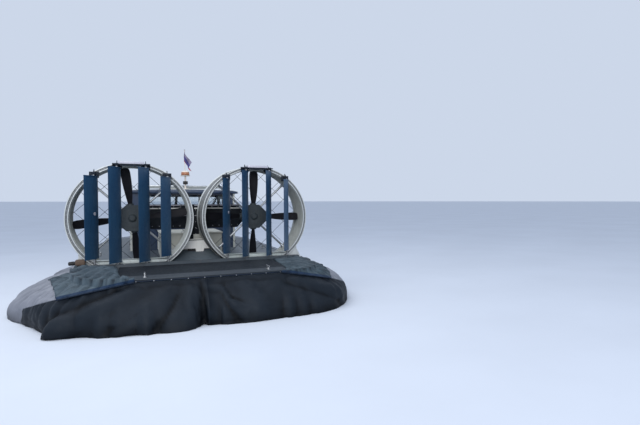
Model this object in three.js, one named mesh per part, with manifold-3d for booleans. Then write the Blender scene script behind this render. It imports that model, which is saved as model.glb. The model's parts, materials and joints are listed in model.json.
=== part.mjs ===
// Twin-duct passenger hovercraft, parked on the ground with its skirt deflated.
// Millimetres. +X is forward, +Y is to port, +Z is up. The origin is on the ground,
// below the middle of the length and width of the skirt.
import * as THREE from 'three';
import { mergeVertices } from 'three/addons/utils/BufferGeometryUtils.js';
import Module from 'manifold-3d';

const wasm = await Module();
wasm.setup();

// Driving dimensions
const overallLength = 10400;
const overallWidth = 5100;
const deckLevel = 600;
const hullBottom = 60;
const seam = 6; // clearance between neighbouring skirt sections
const plateTop = 624; // top of the plating on the aft deck
const touch = 0.4; // clearance between pieces that rest on each other

// Plan curves, each a superellipse with its own fullness at the stern and the bow
const groundPlan = {
  aft: overallLength / 2, fore: overallLength / 2, half: overallWidth / 2, aftPower: 4.5, forePower: 2,
};
const deckPlan = { aft: 4950, fore: 4700, half: 1700, aftPower: 7, forePower: 2.8 };
const planStations = 56;

// Ducts, propellers and rudders
const ductOffset = 950;
const ductHeight = 1356;
const ductRear = -3050;
const ductDepth = 760;
const ductOuter = 888;
const ductInner = 830;
const wallOuter = 872;
const ductLip = 902;
const hoopWidth = 36;
const ringSides = 56;
const propellerX = ductRear + 300;
const propellerRadius = 812;
const propellerTurn = { port: -8, starboard: 0 };
const rudderX = ductRear - 130;
const rudderChord = 360;
const rudderThickness = 46;
const rudderNose = 108; // from the pivot forward to the leading edge
const rudderRest = 25; // degrees, trailing edges to port
const rudderPlaces = [0.56, 0.22, -0.22, -0.56]; // offsets in duct radii, port to starboard
const rudderFeet = [760, 690, 690, 760]; // lower edges, clear of the ring's curve
const beamTop = 660;
const beamHalf = 60;

// Cabin
const cabinAft = -300;
const cabinStraight = 2200; // where the parallel sides end
const cabinFront = 3300;
const cabinHalf = 1020;
const cabinNoseHalf = 800;
const wall = 40;
const eaves = 1790;
const roofEdge = 70; // height of the roof's dark edge
const roofRise = 26; // crown above that edge
const sillHeight = 1000; // lower edge of the windscreen
const floorLevel = 400;
const doorAft = 300;
const doorFore = 1250;
const doorFoot = 645;
const doorHead = 1740;
const windowLow = 1230;
const windowHigh = 1690;

// Engine housing on the deck behind the cabin
const housing = { aft: -1950, fore: -750, half: 520, top: 1010, wall: 25 };

const finishes = {
  hullPaint: { color: 0x3a4650, roughness: 0.6, metalness: 0.1 },
  deckPaint: { color: 0x4a545c, roughness: 0.8, metalness: 0 },
  skirtBlack: { color: 0x262b31, roughness: 0.55, metalness: 0 },
  skirtGrey: { color: 0x8a8f9a, roughness: 0.7, metalness: 0 },
  skirtBlue: { color: 0x5a7080, roughness: 0.6, metalness: 0 },
  ductPaint: { color: 0xb4b9ba, roughness: 0.5, metalness: 0.2 },
  rudderBlue: { color: 0x1e4468, roughness: 0.45, metalness: 0.1 },
  bladeBlack: { color: 0x15171a, roughness: 0.4, metalness: 0 },
  driveGrey: { color: 0x59625f, roughness: 0.6, metalness: 0.3 },
  tubeAlloy: { color: 0x9aa0a3, roughness: 0.4, metalness: 0.8 },
  panelCream: { color: 0xd6d3c6, roughness: 0.5, metalness: 0 },
  trimBlue: { color: 0x22344f, roughness: 0.5, metalness: 0.1 },
  glass: { color: 0x5b6b74, roughness: 0.1, metalness: 0 },
  seatCloth: { color: 0x3c4148, roughness: 0.9, metalness: 0 },
  castIron: { color: 0x3a3c3b, roughness: 0.7, metalness: 0.6 },
  amber: { color: 0xd9772b, roughness: 0.3, metalness: 0 },
  flagCloth: { color: 0x3a3c7a, roughness: 0.9, metalness: 0 },
  lampGlass: { color: 0xe6e8e8, roughness: 0.15, metalness: 0 },
};

const craft = new THREE.Group();

// Turns a three.js geometry into a closed solid, whichever way its faces were wound
function solid(geometry) {
  const bare = geometry.clone();
  bare.deleteAttribute('normal');
  bare.deleteAttribute('uv');
  const merged = mergeVertices(bare, 0.01);
  const place = merged.attributes.position;
  const corners = merged.index.array;
  const triangles = [];
  let volume = 0;
  for (let i = 0; i < corners.length; i += 3) {
    const [a, b, c] = [corners[i], corners[i + 1], corners[i + 2]];
    if (a === b || b === c || c === a) continue;
    triangles.push([a, b, c]);
    const [pa, pb, pc] = [a, b, c].map((n) => new THREE.Vector3().fromBufferAttribute(place, n));
    volume += pa.dot(pb.cross(pc));
  }
  const wound = triangles.flatMap(([a, b, c]) => (volume > 0 ? [a, b, c] : [a, c, b]));
  return new wasm.Manifold(new wasm.Mesh({
    numProp: 3, vertProperties: new Float32Array(place.array), triVerts: new Uint32Array(wound),
  }));
}

function geometryOf(body) {
  const mesh = body.getMesh();
  const geometry = new THREE.BufferGeometry();
  geometry.setAttribute('position', new THREE.BufferAttribute(mesh.vertProperties, 3));
  geometry.setIndex(new THREE.BufferAttribute(mesh.triVerts, 1));
  geometry.computeVertexNormals();
  return geometry;
}

function add(name, body, finish, parent = craft) {
  const mesh = new THREE.Mesh(geometryOf(body), new THREE.MeshStandardMaterial(finishes[finish]));
  mesh.name = name;
  parent.add(mesh);
  return mesh;
}

function join(bodies) {
  return bodies.reduce((all, body) => all.add(body));
}

function box(x0, x1, y0, y1, z0, z1) {
  const block = new THREE.BoxGeometry(x1 - x0, y1 - y0, z1 - z0);
  return solid(block.translate((x0 + x1) / 2, (y0 + y1) / 2, (z0 + z1) / 2));
}

function shapeOf(points) {
  return new THREE.Shape(points.map(([x, y]) => new THREE.Vector2(x, y)));
}

// Outline in plan, extruded upwards
function planPrism(points, z0, z1) {
  const block = new THREE.ExtrudeGeometry(shapeOf(points), { depth: z1 - z0, bevelEnabled: false });
  return solid(block.translate(0, 0, z0));
}

// Outline seen from the side, x forward and z up, extruded across the craft
function sidePrism(points, y0, y1) {
  const block = new THREE.ExtrudeGeometry(shapeOf(points), { depth: y1 - y0, bevelEnabled: false });
  return solid(block.rotateX(Math.PI / 2).translate(0, y1, 0));
}

// Outline seen from ahead, y to port and z up, extruded forward
function endPrism(points, x0, x1) {
  const block = new THREE.ExtrudeGeometry(shapeOf(points), { depth: x1 - x0, bevelEnabled: false });
  const turn = new THREE.Matrix4().set(0, 0, 1, x0, 1, 0, 0, 0, 0, 1, 0, 0, 0, 0, 0, 1);
  return solid(block.applyMatrix4(turn));
}

// Round bar between two points
function rod(from, to, radius, sides = 10) {
  const start = new THREE.Vector3(...from);
  const end = new THREE.Vector3(...to);
  const along = end.clone().sub(start);
  const bar = new THREE.CylinderGeometry(radius, radius, along.length(), sides);
  const turn = new THREE.Quaternion().setFromUnitVectors(new THREE.Vector3(0, 1, 0), along.normalize());
  bar.applyQuaternion(turn);
  const middle = start.add(end).multiplyScalar(0.5);
  return solid(bar.translate(middle.x, middle.y, middle.z));
}

// Closed profile of [radius, x] turned about an axis along X
function turned(profile, y, z, sides = ringSides) {
  const outline = profile.map(([radius, x]) => new THREE.Vector2(radius, x));
  const wheel = new THREE.LatheGeometry([...outline, outline[0]], sides);
  return solid(wheel.rotateZ(-Math.PI / 2).translate(0, y, z));
}

// Skin over sections that hold the same number of points, closed by its end sections or as a loop
function loft(sections, loop = false) {
  const count = sections[0].length;
  const corners = [];
  const bands = loop ? sections.length : sections.length - 1;
  for (let i = 0; i < bands; i += 1) {
    const next = (i + 1) % sections.length;
    for (let j = 0; j < count; j += 1) {
      const k = (j + 1) % count;
      const quad = [i * count + j, i * count + k, next * count + k, next * count + j];
      corners.push(quad[0], quad[1], quad[2], quad[0], quad[2], quad[3]);
    }
  }
  if (!loop) {
    const last = (sections.length - 1) * count;
    for (let j = 1; j < count - 1; j += 1) {
      corners.push(0, j + 1, j);
      corners.push(last, last + j, last + j + 1);
    }
  }
  const geometry = new THREE.BufferGeometry();
  geometry.setAttribute('position', new THREE.Float32BufferAttribute(sections.flat(2), 3));
  geometry.setIndex(corners);
  return solid(geometry);
}

const sides = [['port', 1], ['starboard', -1]];

function planPoint(plan, angle, inset = 0) {
  const [c, s] = [Math.cos(angle), Math.sin(angle)];
  const [reach, power] = c < 0 ? [plan.aft, plan.aftPower] : [plan.fore, plan.forePower];
  const x = Math.sign(c) * (reach - inset) * Math.abs(c) ** (2 / power);
  const y = Math.sign(s) * (plan.half - inset) * Math.abs(s) ** (2 / power);
  return [x, y];
}

function planAngles() {
  return Array.from({ length: planStations }, (_, n) => (n * 2 * Math.PI) / planStations);
}

function deckOutline(inset) {
  return planAngles().map((angle) => planPoint(deckPlan, angle, inset));
}

// Skirt, one loop of bag sections round the hull, then parted into its sewn sections
const bagProfile = [
  // share of the way out from deck edge to ground edge, height
  [0, deckLevel], [0.26, 562], [0.56, 452], [0.85, 310], [1, 180], [0.97, 0], [0, 0],
];
// The slack bags lie lower along the sides: x, share of the height that is left there
const bagFullness = [
  [-3600, 1], [-3050, 0.95], [-2000, 0.8], [-1000, 0.62], [0, 0.5], [1000, 0.42], [3000, 0.5], [5200, 0.62],
];
const coverInner = 1130; // inboard edge of the loose cloth over the stern corners of the deck
const coverTop = 640;
const coverRim = { out: 24, in: 4, foot: 560 }; // strip that joins it to the flap outside the deck
const sternSplit = -3850;
const bowSplit = 1500;
const apronFold = 60; // the two apron halves meet a little to port of the middle
const reach = overallLength;

function fullnessAt(x) {
  const next = bagFullness.findIndex(([place]) => place > x);
  if (next === 0) return bagFullness[0][1];
  const [[x0, full0], [x1, full1]] = bagFullness.slice(next - 1, next + 1);
  return full0 + ((full1 - full0) * (x - x0)) / (x1 - x0);
}

function skirtLoop() {
  return loft(planAngles().map((angle) => {
    const [deckX, deckY] = planPoint(deckPlan, angle);
    const [groundX, groundY] = planPoint(groundPlan, angle);
    const full = fullnessAt(deckX);
    return bagProfile.map(([share, z]) => [
      deckX + (groundX - deckX) * share, deckY + (groundY - deckY) * share, share > 0 ? z * full : z,
    ]);
  }), true);
}

// Everything above the slanting hem at a stern corner, where the upper cloth covers the black apron
function aboveHem(side, drop) {
  const start = new THREE.Vector3(-4950, side * 1050, deckLevel);
  const low = new THREE.Vector3(-3900, side * 1900, 270);
  const inward = new THREE.Vector3(0.7, side * -0.7, 0).normalize();
  const along = low.clone().sub(start).normalize();
  const up = new THREE.Vector3().crossVectors(along, inward).normalize();
  if (up.z < 0) up.negate();
  const across = new THREE.Vector3().crossVectors(up, along);
  const block = new THREE.BoxGeometry(6000, 6000, 2000).translate(0, 0, 1000);
  block.applyMatrix4(new THREE.Matrix4().makeBasis(along, across, up));
  block.translate(start.x, start.y, start.z - drop);
  return solid(block);
}

// All that lies outboard of the plane at y on one side, between two stations
function outboard(side, y, aft = -reach, fore = reach) {
  return side > 0 ? box(aft, fore, y, reach, -10, 1000) : box(aft, fore, -reach, y, -10, 1000);
}

function cornerCover(side, hem) {
  const top = planPrism(deckOutline(0), deckLevel + touch, coverTop);
  const ring = planPrism(deckOutline(-coverRim.out), coverRim.foot, coverTop);
  const rim = ring.subtract(planPrism(deckOutline(coverRim.in), 0, reach)).intersect(hem);
  const rear = outboard(side, side * coverInner, -reach, sternSplit);
  const whole = outboard(side, side * coverInner, -reach, rudderX - beamHalf - seam);
  return top.intersect(whole).add(rim.intersect(rear));
}

function addSkirt() {
  const loop = skirtLoop();
  for (const [name, side] of sides) {
    const halfAt = (y) => outboard(side, y + (side * seam) / 2);
    const half = loop.intersect(halfAt(0));
    const stern = loop.intersect(box(-reach, sternSplit, -reach, reach, -10, 1000));
    const corner = stern.intersect(halfAt(apronFold));
    add(`stern_apron_${name}`, corner.subtract(aboveHem(side, seam)), 'skirtBlack');
    const hem = aboveHem(side, 0);
    add(`corner_flap_${name}`, corner.intersect(hem).add(cornerCover(side, hem)), 'skirtBlue');
    const between = (aft, fore) => half.intersect(box(aft, fore, -reach, reach, -10, 1000));
    add(`side_bag_${name}`, between(sternSplit + seam, bowSplit), 'skirtGrey');
    add(`bow_bag_${name}`, between(bowSplit + seam, reach), 'skirtGrey');
  }
}

// Rigid hull with its landing runners, a cabin well, an engine well and a trough under each duct
const hullInset = 14;
const runnerPlace = 1000;
const wellHalf = cabinHalf - 130;

function ductCylinder(side, radius, x0, x1) {
  return turned([[0, x0], [radius, x0], [radius, x1], [0, x1]], side * ductOffset, ductHeight);
}

const rampCover = { aft: ductRear - 20, fore: ductRear + 560, top: 780, half: 430 };

function addHull() {
  let hull = planPrism(deckOutline(hullInset), hullBottom, deckLevel);
  hull = hull.subtract(box(cabinAft + 60, cabinFront - 250, -wellHalf, wellHalf, floorLevel, deckLevel + 50));
  hull = hull.subtract(box(housing.aft + 60, housing.fore - 60, -440, 440, 300, deckLevel + 50));
  for (const [, side] of sides) {
    hull = hull.subtract(ductCylinder(side, ductLip + 12, ductRear - 10, ductRear + ductDepth + 40));
  }
  const runner = [[-3800, 0], [3300, 0], [3620, hullBottom + 2], [-3860, hullBottom + 2]];
  for (const [, side] of sides) {
    hull = hull.add(sidePrism(runner, side * runnerPlace - 60, side * runnerPlace + 60));
  }
  add('hull', hull, 'hullPaint');
  const plate = planPrism(deckOutline(30), deckLevel + touch, plateTop);
  const plateHalf = coverInner - 4;
  add('aft_deck', plate.intersect(box(-reach, ductRear - 260, -plateHalf, plateHalf, 0, 1000)), 'deckPaint');
  const { aft, fore, top, half } = rampCover;
  let cover = sidePrism([[aft, deckLevel + touch], [fore, deckLevel + touch], [fore, top]], -half, half);
  for (const [, side] of sides) cover = cover.subtract(ductCylinder(side, ductLip + 10, -4000, 0));
  add('ramp_cover', cover, 'deckPaint');
}

// Duct: ring with hoops and a rounded inlet lip, cradle, rudder brackets and the lift-air scoop
const bracket = { reach: 165, height: 40, width: 46, lift: 14 };
const topPlate = { reach: 170, thickness: 30, margin: 60, lap: 12 };
const cradle = { aft: 60, length: 500, inboard: 440, outboard: 720, top: 960 };
const shelf = { low: 690, high: 706, depth: 185 };
const scoop = { foot: 440, depth: 22 };
const outlet = { half: 190, foot: 590, proud: 8, depth: 60 };

function rudderTop(place) {
  const across = place * ductOuter;
  return ductHeight + Math.sqrt(ductInner ** 2 - across ** 2) + bracket.lift;
}

function ductRing(side) {
  const front = ductRear + ductDepth;
  const profile = [
    [ductInner, ductRear], [ductOuter, ductRear], [ductOuter, ductRear + hoopWidth],
    [wallOuter, ductRear + hoopWidth],
    [wallOuter, ductRear + 320], [ductOuter, ductRear + 320], [ductOuter, ductRear + 320 + hoopWidth],
    [wallOuter, ductRear + 320 + hoopWidth], [wallOuter, front - 110], [ductLip - 12, front - 90],
    [ductLip, front - 50], [ductLip - 8, front - 14], [ductLip - 32, front], [ductLip - 56, front - 20],
    [ductInner + 10, front - 90], [ductInner, front - 160],
  ];
  return turned(profile, side * ductOffset, ductHeight);
}

function ductSolid(side) {
  const centre = side * ductOffset;
  const across = (inner, outer, x0, x1, z0, z1) => box(
    x0, x1, ...[centre + side * inner, centre + side * outer].sort((a, b) => a - b), z0, z1);
  const saddle = across(-cradle.inboard, cradle.outboard, ductRear + cradle.aft,
    ductRear + cradle.aft + cradle.length, deckLevel + touch, cradle.top);
  const parts = [ductRing(side), saddle.subtract(ductCylinder(side, wallOuter - 12, -reach, 0))];
  for (const place of rudderPlaces) {
    const y = place * ductOuter;
    const z = rudderTop(place);
    const half = bracket.width / 2;
    parts.push(box(
      ductRear - bracket.reach, ductRear + 20, centre + y - half, centre + y + half, z, z + bracket.height));
  }
  const plateZ = rudderTop(rudderPlaces[1]) + bracket.height - topPlate.lap;
  const plateHalf = rudderPlaces[1] * ductOuter + topPlate.margin;
  parts.push(across(-plateHalf, plateHalf, ductRear - topPlate.reach, ductRear + 10, plateZ,
    plateZ + topPlate.thickness));
  const inside = ductCylinder(side, ductInner + 12, -reach, 0);
  const floor = across(-ductOuter, ductOuter, ductRear + 2, ductRear + shelf.depth, shelf.low, shelf.high);
  const wallPlate = across(-ductOuter, ductOuter, ductRear + 2, ductRear + scoop.depth, scoop.foot,
    shelf.high);
  parts.push(floor.intersect(inside), wallPlate.intersect(inside));
  parts.push(across(-outlet.half, outlet.half, ductRear - outlet.proud, ductRear + outlet.depth, outlet.foot,
    shelf.high));
  return join(parts);
}

// Belt casing ahead of each inlet, from the shaft inboard and down to the deck amidships
const casing = { aft: -2230, fore: -2110, low: 1150, high: 1560, outer: 845, post: 85, gap: 4, chamfer: 90 };
const casingNeck = { root: 60, half: 110, flat: 50, shoulder: 70, tip: 110 }; // round the shaft
const shaftRadius = 32;
const bearing = { aft: 90, fore: 70, radius: 70 }; // lengths either side of the pylon's plane

function casingSolid(side) {
  const { aft, fore, low, high, outer, post, gap, chamfer } = casing;
  const outline = [
    [gap, deckLevel + touch], [post, deckLevel + touch], [post, low], [outer - chamfer, low],
    [outer, low + chamfer], [outer, high - chamfer], [outer - chamfer, high], [gap, high],
  ];
  const { root, half, flat, shoulder, tip } = casingNeck;
  const neck = [
    [outer - root, ductHeight - half], [ductOffset + shoulder, ductHeight - half],
    [ductOffset + tip, ductHeight - flat], [ductOffset + tip, ductHeight + flat],
    [ductOffset + shoulder, ductHeight + half], [outer - root, ductHeight + half],
  ];
  const toSide = (points) => points.map(([y, z]) => [side * y, z]);
  const shaft = rod(
    [fore - 20, side * ductOffset, ductHeight],
    [pylonPlane + bearing.fore + touch, side * ductOffset, ductHeight], shaftRadius, 16);
  return join([endPrism(toSide(outline), aft, fore), endPrism(toSide(neck), aft, fore), shaft]);
}

// Tube frame that carries the shaft bearing ahead of the propeller
const pylonAngles = [45, 135, 225, 315];
const pylonPlane = propellerX + 210;

function pylonSolid(side) {
  const centre = side * ductOffset;
  const drum = rod(
    [pylonPlane - bearing.aft, centre, ductHeight], [pylonPlane + bearing.fore, centre, ductHeight],
    bearing.radius, 20);
  const tubes = pylonAngles.map((degrees) => {
    const angle = THREE.MathUtils.degToRad(degrees);
    const tip = ductInner - 2;
    const end = [pylonPlane, centre + tip * Math.cos(angle), ductHeight + tip * Math.sin(angle)];
    return rod([pylonPlane, centre, ductHeight], end, 18);
  });
  return join([drum, ...tubes]);
}

const bladeStations = [
  // radius, chord, thickness, pitch in degrees
  [50, 84, 40, 55], [200, 96, 28, 46], [380, 128, 18, 34], [580, 150, 13, 25], [740, 150, 10, 20],
  [propellerRadius, 120, 7, 18],
];

function bladeSolid(turn) {
  const sections = bladeStations.map(([radius, chord, thickness, pitch]) => {
    const angle = THREE.MathUtils.degToRad(pitch);
    const section = [[-0.5, 0], [-0.25, -0.5], [0.15, -0.5], [0.5, 0], [0.15, 0.5], [-0.25, 0.5]];
    return section.map(([a, b]) => {
      const [along, up] = [a * chord, b * thickness];
      const x = along * Math.sin(angle) + up * Math.cos(angle);
      const y = along * Math.cos(angle) - up * Math.sin(angle);
      return new THREE.Vector3(x, y, radius).applyAxisAngle(new THREE.Vector3(1, 0, 0), turn).toArray();
    });
  });
  return loft(sections);
}

function propellerSolid(side, rest) {
  const drum = [[0, -92], [190, -92], [212, -74], [212, 56], [190, 74], [32, 74], [32, 112], [0, 112]];
  const hub = turned(drum, 0, 0, 8).rotate([22.5, 0, 0]);
  const blades = [0, 1, 2, 3].map((n) => bladeSolid(n * (Math.PI / 2) + THREE.MathUtils.degToRad(rest)));
  return join([hub, ...blades]);
}

// Rudder about its own pivot, nose forward
function rudderSolid(foot, top) {
  const half = rudderThickness / 2;
  const tail = rudderNose - rudderChord;
  const outline = [
    // along the chord, across it
    [rudderNose, 0], [rudderNose - 10, half * 0.6], [rudderNose - 40, half], [0, half],
    [tail + 60, half * 0.55], [tail, 3], [tail, -3], [tail + 60, -half * 0.55],
    [0, -half], [rudderNose - 40, -half], [rudderNose - 10, -half * 0.6],
  ];
  const blade = planPrism(outline, foot, top - 12);
  const pin = rod([0, 0, beamTop + 1], [0, 0, top - 1], 12, 12);
  return blade.add(pin);
}

function addDucts() {
  for (const [name, side] of sides) {
    const centre = side * ductOffset;
    add(`duct_${name}`, ductSolid(side), 'ductPaint');
    add(`belt_casing_${name}`, casingSolid(side), 'driveGrey');
    add(`pylon_${name}`, pylonSolid(side), 'tubeAlloy');
    const shaft = new THREE.Group();
    shaft.position.set(propellerX, centre, ductHeight);
    add(`propeller_${name}`, propellerSolid(side, propellerTurn[name]), 'bladeBlack', shaft);
    craft.add(shaft);
    rudderPlaces.forEach((place, n) => {
      const pivot = new THREE.Group();
      pivot.position.set(rudderX, centre + place * ductOuter, 0);
      pivot.rotation.z = THREE.MathUtils.degToRad(-rudderRest);
      add(`rudder_${name}_${n + 1}`, rudderSolid(rudderFeet[n], rudderTop(place)), 'rudderBlue', pivot);
      craft.add(pivot);
    });
  }
  const beam = box(rudderX - beamHalf, rudderX + beamHalf, -1650, 1650, deckLevel + touch, beamTop);
  add('rudder_beam', beam, 'deckPaint');
}

// Cabin
function cabinSide(side) {
  const outer = side * cabinHalf;
  const [y0, y1] = side > 0 ? [outer - wall, outer] : [outer, outer + wall];
  let panel = box(cabinAft, cabinStraight, y0, y1, deckLevel + touch, eaves - touch);
  panel = panel.subtract(box(doorAft, doorFore, -3000, 3000, doorFoot, doorHead));
  return panel.subtract(box(doorFore + 120, cabinStraight - 120, -3000, 3000, windowLow, windowHigh));
}

function cabinDoor(side) {
  const outer = side * cabinHalf;
  const [y0, y1] = side > 0 ? [outer - wall, outer] : [outer, outer + wall];
  const gap = 6;
  const panel = box(doorAft + gap, doorFore - gap, y0, y1, doorFoot + gap, doorHead - gap);
  return panel.subtract(box(doorAft + 110, doorFore - 110, -3000, 3000, windowLow, windowHigh - 20));
}

function cowlOutline(inset) {
  const [side, nose, front] = [cabinHalf - inset, cabinNoseHalf - inset, cabinFront - inset];
  return [[cabinStraight + touch, side], [front, nose], [front, -nose], [cabinStraight + touch, -side]];
}

const roofHalf = cabinHalf + 60;

function roofHeight(y) {
  return eaves + roofEdge + roofRise * (1 - (y / roofHalf) ** 2);
}

function addCabin() {
  const inner = cabinHalf - wall - touch;
  let rear = box(cabinAft, cabinAft + wall, -inner, inner, deckLevel + touch, eaves - touch);
  rear = rear.subtract(box(-1000, 0, -rearWindow.half, rearWindow.half, rearWindow.low, rearWindow.high));
  add('cabin_rear_wall', rear, 'trimBlue');
  for (const [name, side] of sides) {
    add(`cabin_side_${name}`, cabinSide(side), 'panelCream');
    add(`cabin_door_${name}`, cabinDoor(side), 'panelCream');
  }
  const cowl = planPrism(cowlOutline(0), deckLevel + touch, sillHeight);
  const hollow = [
    [cabinStraight - 100, cabinHalf - wall], [cabinFront - wall, cabinNoseHalf - wall],
    [cabinFront - wall, wall - cabinNoseHalf], [cabinStraight - 100, wall - cabinHalf],
  ];
  const shelf = planPrism(cowlOutline(wall / 2), sillHeight - 30, sillHeight - 2).intersect(
    box(cabinFront - 480, cabinFront, -3000, 3000, 0, 2000));
  add('cabin_cowl', cowl.subtract(planPrism(hollow, 500, 1100)).add(shelf), 'panelCream');
  const crown = [[-roofHalf, eaves], [roofHalf, eaves], [roofHalf, eaves + roofEdge]];
  for (let n = 1; n < 10; n += 1) {
    const y = roofHalf - (2 * roofHalf * n) / 10;
    crown.push([y, roofHeight(y)]);
  }
  crown.push([-roofHalf, eaves + roofEdge]);
  add('cabin_roof', endPrism(crown, cabinAft - 60, cabinStraight + 130), 'trimBlue');
}

// Windscreen: a sloping frame round two panes
const screenFoot = { x: cabinFront - 30, z: sillHeight + 22, half: cabinNoseHalf - 10 };
const screenHead = { x: cabinStraight + 60, z: eaves - 22, half: cabinHalf - 10 };
const screenRail = { width: 44, thickness: 36, post: 22, paneThickness: 8 };

function screenPane(side, gap) {
  const { width, post } = screenRail;
  const rise = Math.hypot(screenHead.x - screenFoot.x, screenHead.z - screenFoot.z);
  return [
    [side * (post + gap), width + gap], [side * (screenFoot.half - width - gap), width + gap],
    [side * (screenHead.half - width - gap), rise - width - gap], [side * (post + gap), rise - width - gap],
  ];
}

function addWindscreen() {
  const foot = new THREE.Vector3(screenFoot.x, 0, screenFoot.z);
  const slope = new THREE.Vector3(screenHead.x, 0, screenHead.z).sub(foot);
  const rise = slope.length();
  slope.normalize();
  const across = new THREE.Vector3(0, 1, 0);
  const plane = new THREE.Matrix4().makeBasis(across, slope, new THREE.Vector3().crossVectors(across, slope));
  const sheet = (points, depth) => {
    const plate = new THREE.ExtrudeGeometry(shapeOf(points), { depth, bevelEnabled: false });
    return solid(plate.translate(0, 0, -depth / 2).applyMatrix4(plane).translate(foot.x, foot.y, foot.z));
  };
  const { thickness, paneThickness } = screenRail;
  const outline = [
    [-screenFoot.half, 0], [screenFoot.half, 0], [screenHead.half, rise], [-screenHead.half, rise],
  ];
  let frame = sheet(outline, thickness);
  for (const [name, side] of sides) {
    frame = frame.subtract(sheet(screenPane(side, 0), thickness * 2));
    add(`windscreen_${name}`, sheet(screenPane(side, touch), paneThickness), 'glass');
  }
  add('windscreen_frame', frame, 'trimBlue');
}

// Flat panes stand in the middle of their walls
const rearWindow = { half: 860, low: 1330, high: 1765 };

function addGlass() {
  const { half, low, high } = rearWindow;
  const middle = cabinAft + wall / 2;
  const rearPane = box(middle - 4, middle + 4, touch - half, half - touch, low + touch, high - touch);
  add('rear_window', rearPane, 'glass');
  for (const [name, side] of sides) {
    const y = side * (cabinHalf - wall / 2);
    const pane = (x0, x1, z1) => box(x0 + touch, x1 - touch, y - 4, y + 4, windowLow + touch, z1 - touch);
    add(`side_window_${name}`, pane(doorFore + 120, cabinStraight - 120, windowHigh), 'glass');
    add(`door_window_${name}`, pane(doorAft + 110, doorFore - 110, windowHigh - 20), 'glass');
  }
}

const seatRows = [
  // name, aft edge of the back, starboard edge, port edge
  ['seat_helm', 1750, 150, 700], ['seat_mate', 1750, -700, -150], ['bench_middle', 750, -840, 840],
  ['bench_rear', -150, -840, 840],
];

function seatSolid(x, y0, y1) {
  const z = floorLevel + touch;
  const outline = [
    [x + 110, z], [x + 560, z], [x + 600, z + 400], [x + 140, z + 400], [x + 60, z + 860], [x, z + 850],
  ];
  return sidePrism(outline, y0, y1);
}

function addInterior() {
  for (const [name, x, y0, y1] of seatRows) add(name, seatSolid(x, y0, y1), 'seatCloth');
  const z = floorLevel + touch;
  const dash = [[2620, z], [2960, z], [2960, sillHeight - 60], [2800, sillHeight - 40], [2620, 860]];
  add('helm_console', sidePrism(dash, 130, 800), 'hullPaint');
  const wheel = new THREE.TorusGeometry(170, 14, 8, 28);
  const spoke = (degrees) => {
    const angle = THREE.MathUtils.degToRad(degrees);
    return rod([0, 0, 0], [170 * Math.cos(angle), 170 * Math.sin(angle), 0], 9, 8);
  };
  const stem = rod([0, 0, 20], [0, 0, -70], 20, 12);
  const yoke = join([solid(wheel), spoke(90), spoke(210), spoke(330), stem]);
  const helm = add('helm_wheel', yoke, 'bladeBlack');
  helm.rotation.set(0, -Math.PI / 2 + 0.5, 0);
  helm.position.set(2530, 425, 925);
}

// Engine, its housing and the hinged lid
function addEngine() {
  const { aft, fore, half, top } = housing;
  add('engine_block', box(aft + 220, fore - 220, -300, 300, 300 + touch, 900), 'castIron');
  const shell = box(aft, fore, -half, half, deckLevel + touch, top);
  const inside = half - housing.wall;
  const room = box(aft + housing.wall, fore - housing.wall, -inside, inside, 0, 2000);
  add('engine_housing', shell.subtract(room), 'panelCream');
  add('engine_lid', box(aft - 15, fore + 15, -half - 15, half + 15, top + 6, top + 36), 'panelCream');
}

// Roof rack, mast, beacon, flag and lamps
const rack = { aft: -120, middle: 860, fore: 1900, half: 860, tube: 17, z: 1950 };
const mast = {
  x: -240, y: -25, plateZ: 2165, plateHalf: 88, plateFore: 150, staff: 120, top: 2745, flange: 60,
};

function addRoofGear() {
  const corner = (x, side) => [x, side * rack.half, rack.z];
  const bars = [rack.aft, rack.middle, rack.fore].map((x) => rod(corner(x, -1), corner(x, 1), rack.tube));
  const feet = [];
  for (const [, side] of sides) {
    bars.push(rod(corner(rack.aft, side), corner(rack.fore, side), rack.tube));
    for (const x of [rack.aft, rack.middle, rack.fore]) {
      feet.push(rod([x, side * rack.half, roofHeight(rack.half) + 8], corner(x, side), rack.tube * 0.8, 8));
    }
  }
  add('roof_rack', join([...bars, ...feet]), 'tubeAlloy');
  const { x, y, plateZ, plateHalf } = mast;
  const foot = roofHeight(0);
  const pole = rod([x, y, foot + touch], [x, y, plateZ + 5], 18, 14);
  const flange = rod([x, y, foot + touch], [x, y, foot + 12], mast.flange, 18);
  const plate = box(x - plateHalf, x + mast.plateFore, y - plateHalf, y + plateHalf, plateZ, plateZ + 10);
  const staff = rod([x + mast.staff, y, plateZ + 5], [x + mast.staff, y, mast.top], 8, 10);
  add('mast', join([pole, flange, plate, staff]), 'tubeAlloy');
  const beacon = [[0, 0], [80, 0], [85, 14], [80, 70], [62, 96], [0, 105]];
  const outline = beacon.map(([r, h]) => new THREE.Vector2(r, h));
  const lamp = new THREE.LatheGeometry(outline, 24).rotateX(Math.PI / 2);
  add('beacon', solid(lamp.translate(x, y, plateZ + 10 + touch)), 'amber');
  const hoist = x + mast.staff - 10;
  const cloth = [[hoist, 2735], [hoist - 90, 2700], [hoist - 130, 2420], [hoist - 60, 2330], [hoist, 2380]];
  add('flag', sidePrism(cloth, y - 12, y + 12), 'flagCloth');
  for (const [name, side] of sides) {
    const lampBody = turned([[0, 0], [60, 0], [85, 40], [85, 95], [0, 95]], side * 600, 800, 24);
    const headlamp = add(`headlamp_${name}`, lampBody, 'lampGlass');
    headlamp.position.x = cabinFront + touch;
  }
}

addSkirt();
addHull();
addDucts();
addCabin();
addWindscreen();
addGlass();
addInterior();
addEngine();
addRoofGear();

export default craft;
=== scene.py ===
import json
import math
import bpy
import bmesh
import numpy as np
from mathutils import Matrix, Vector, noise

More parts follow.
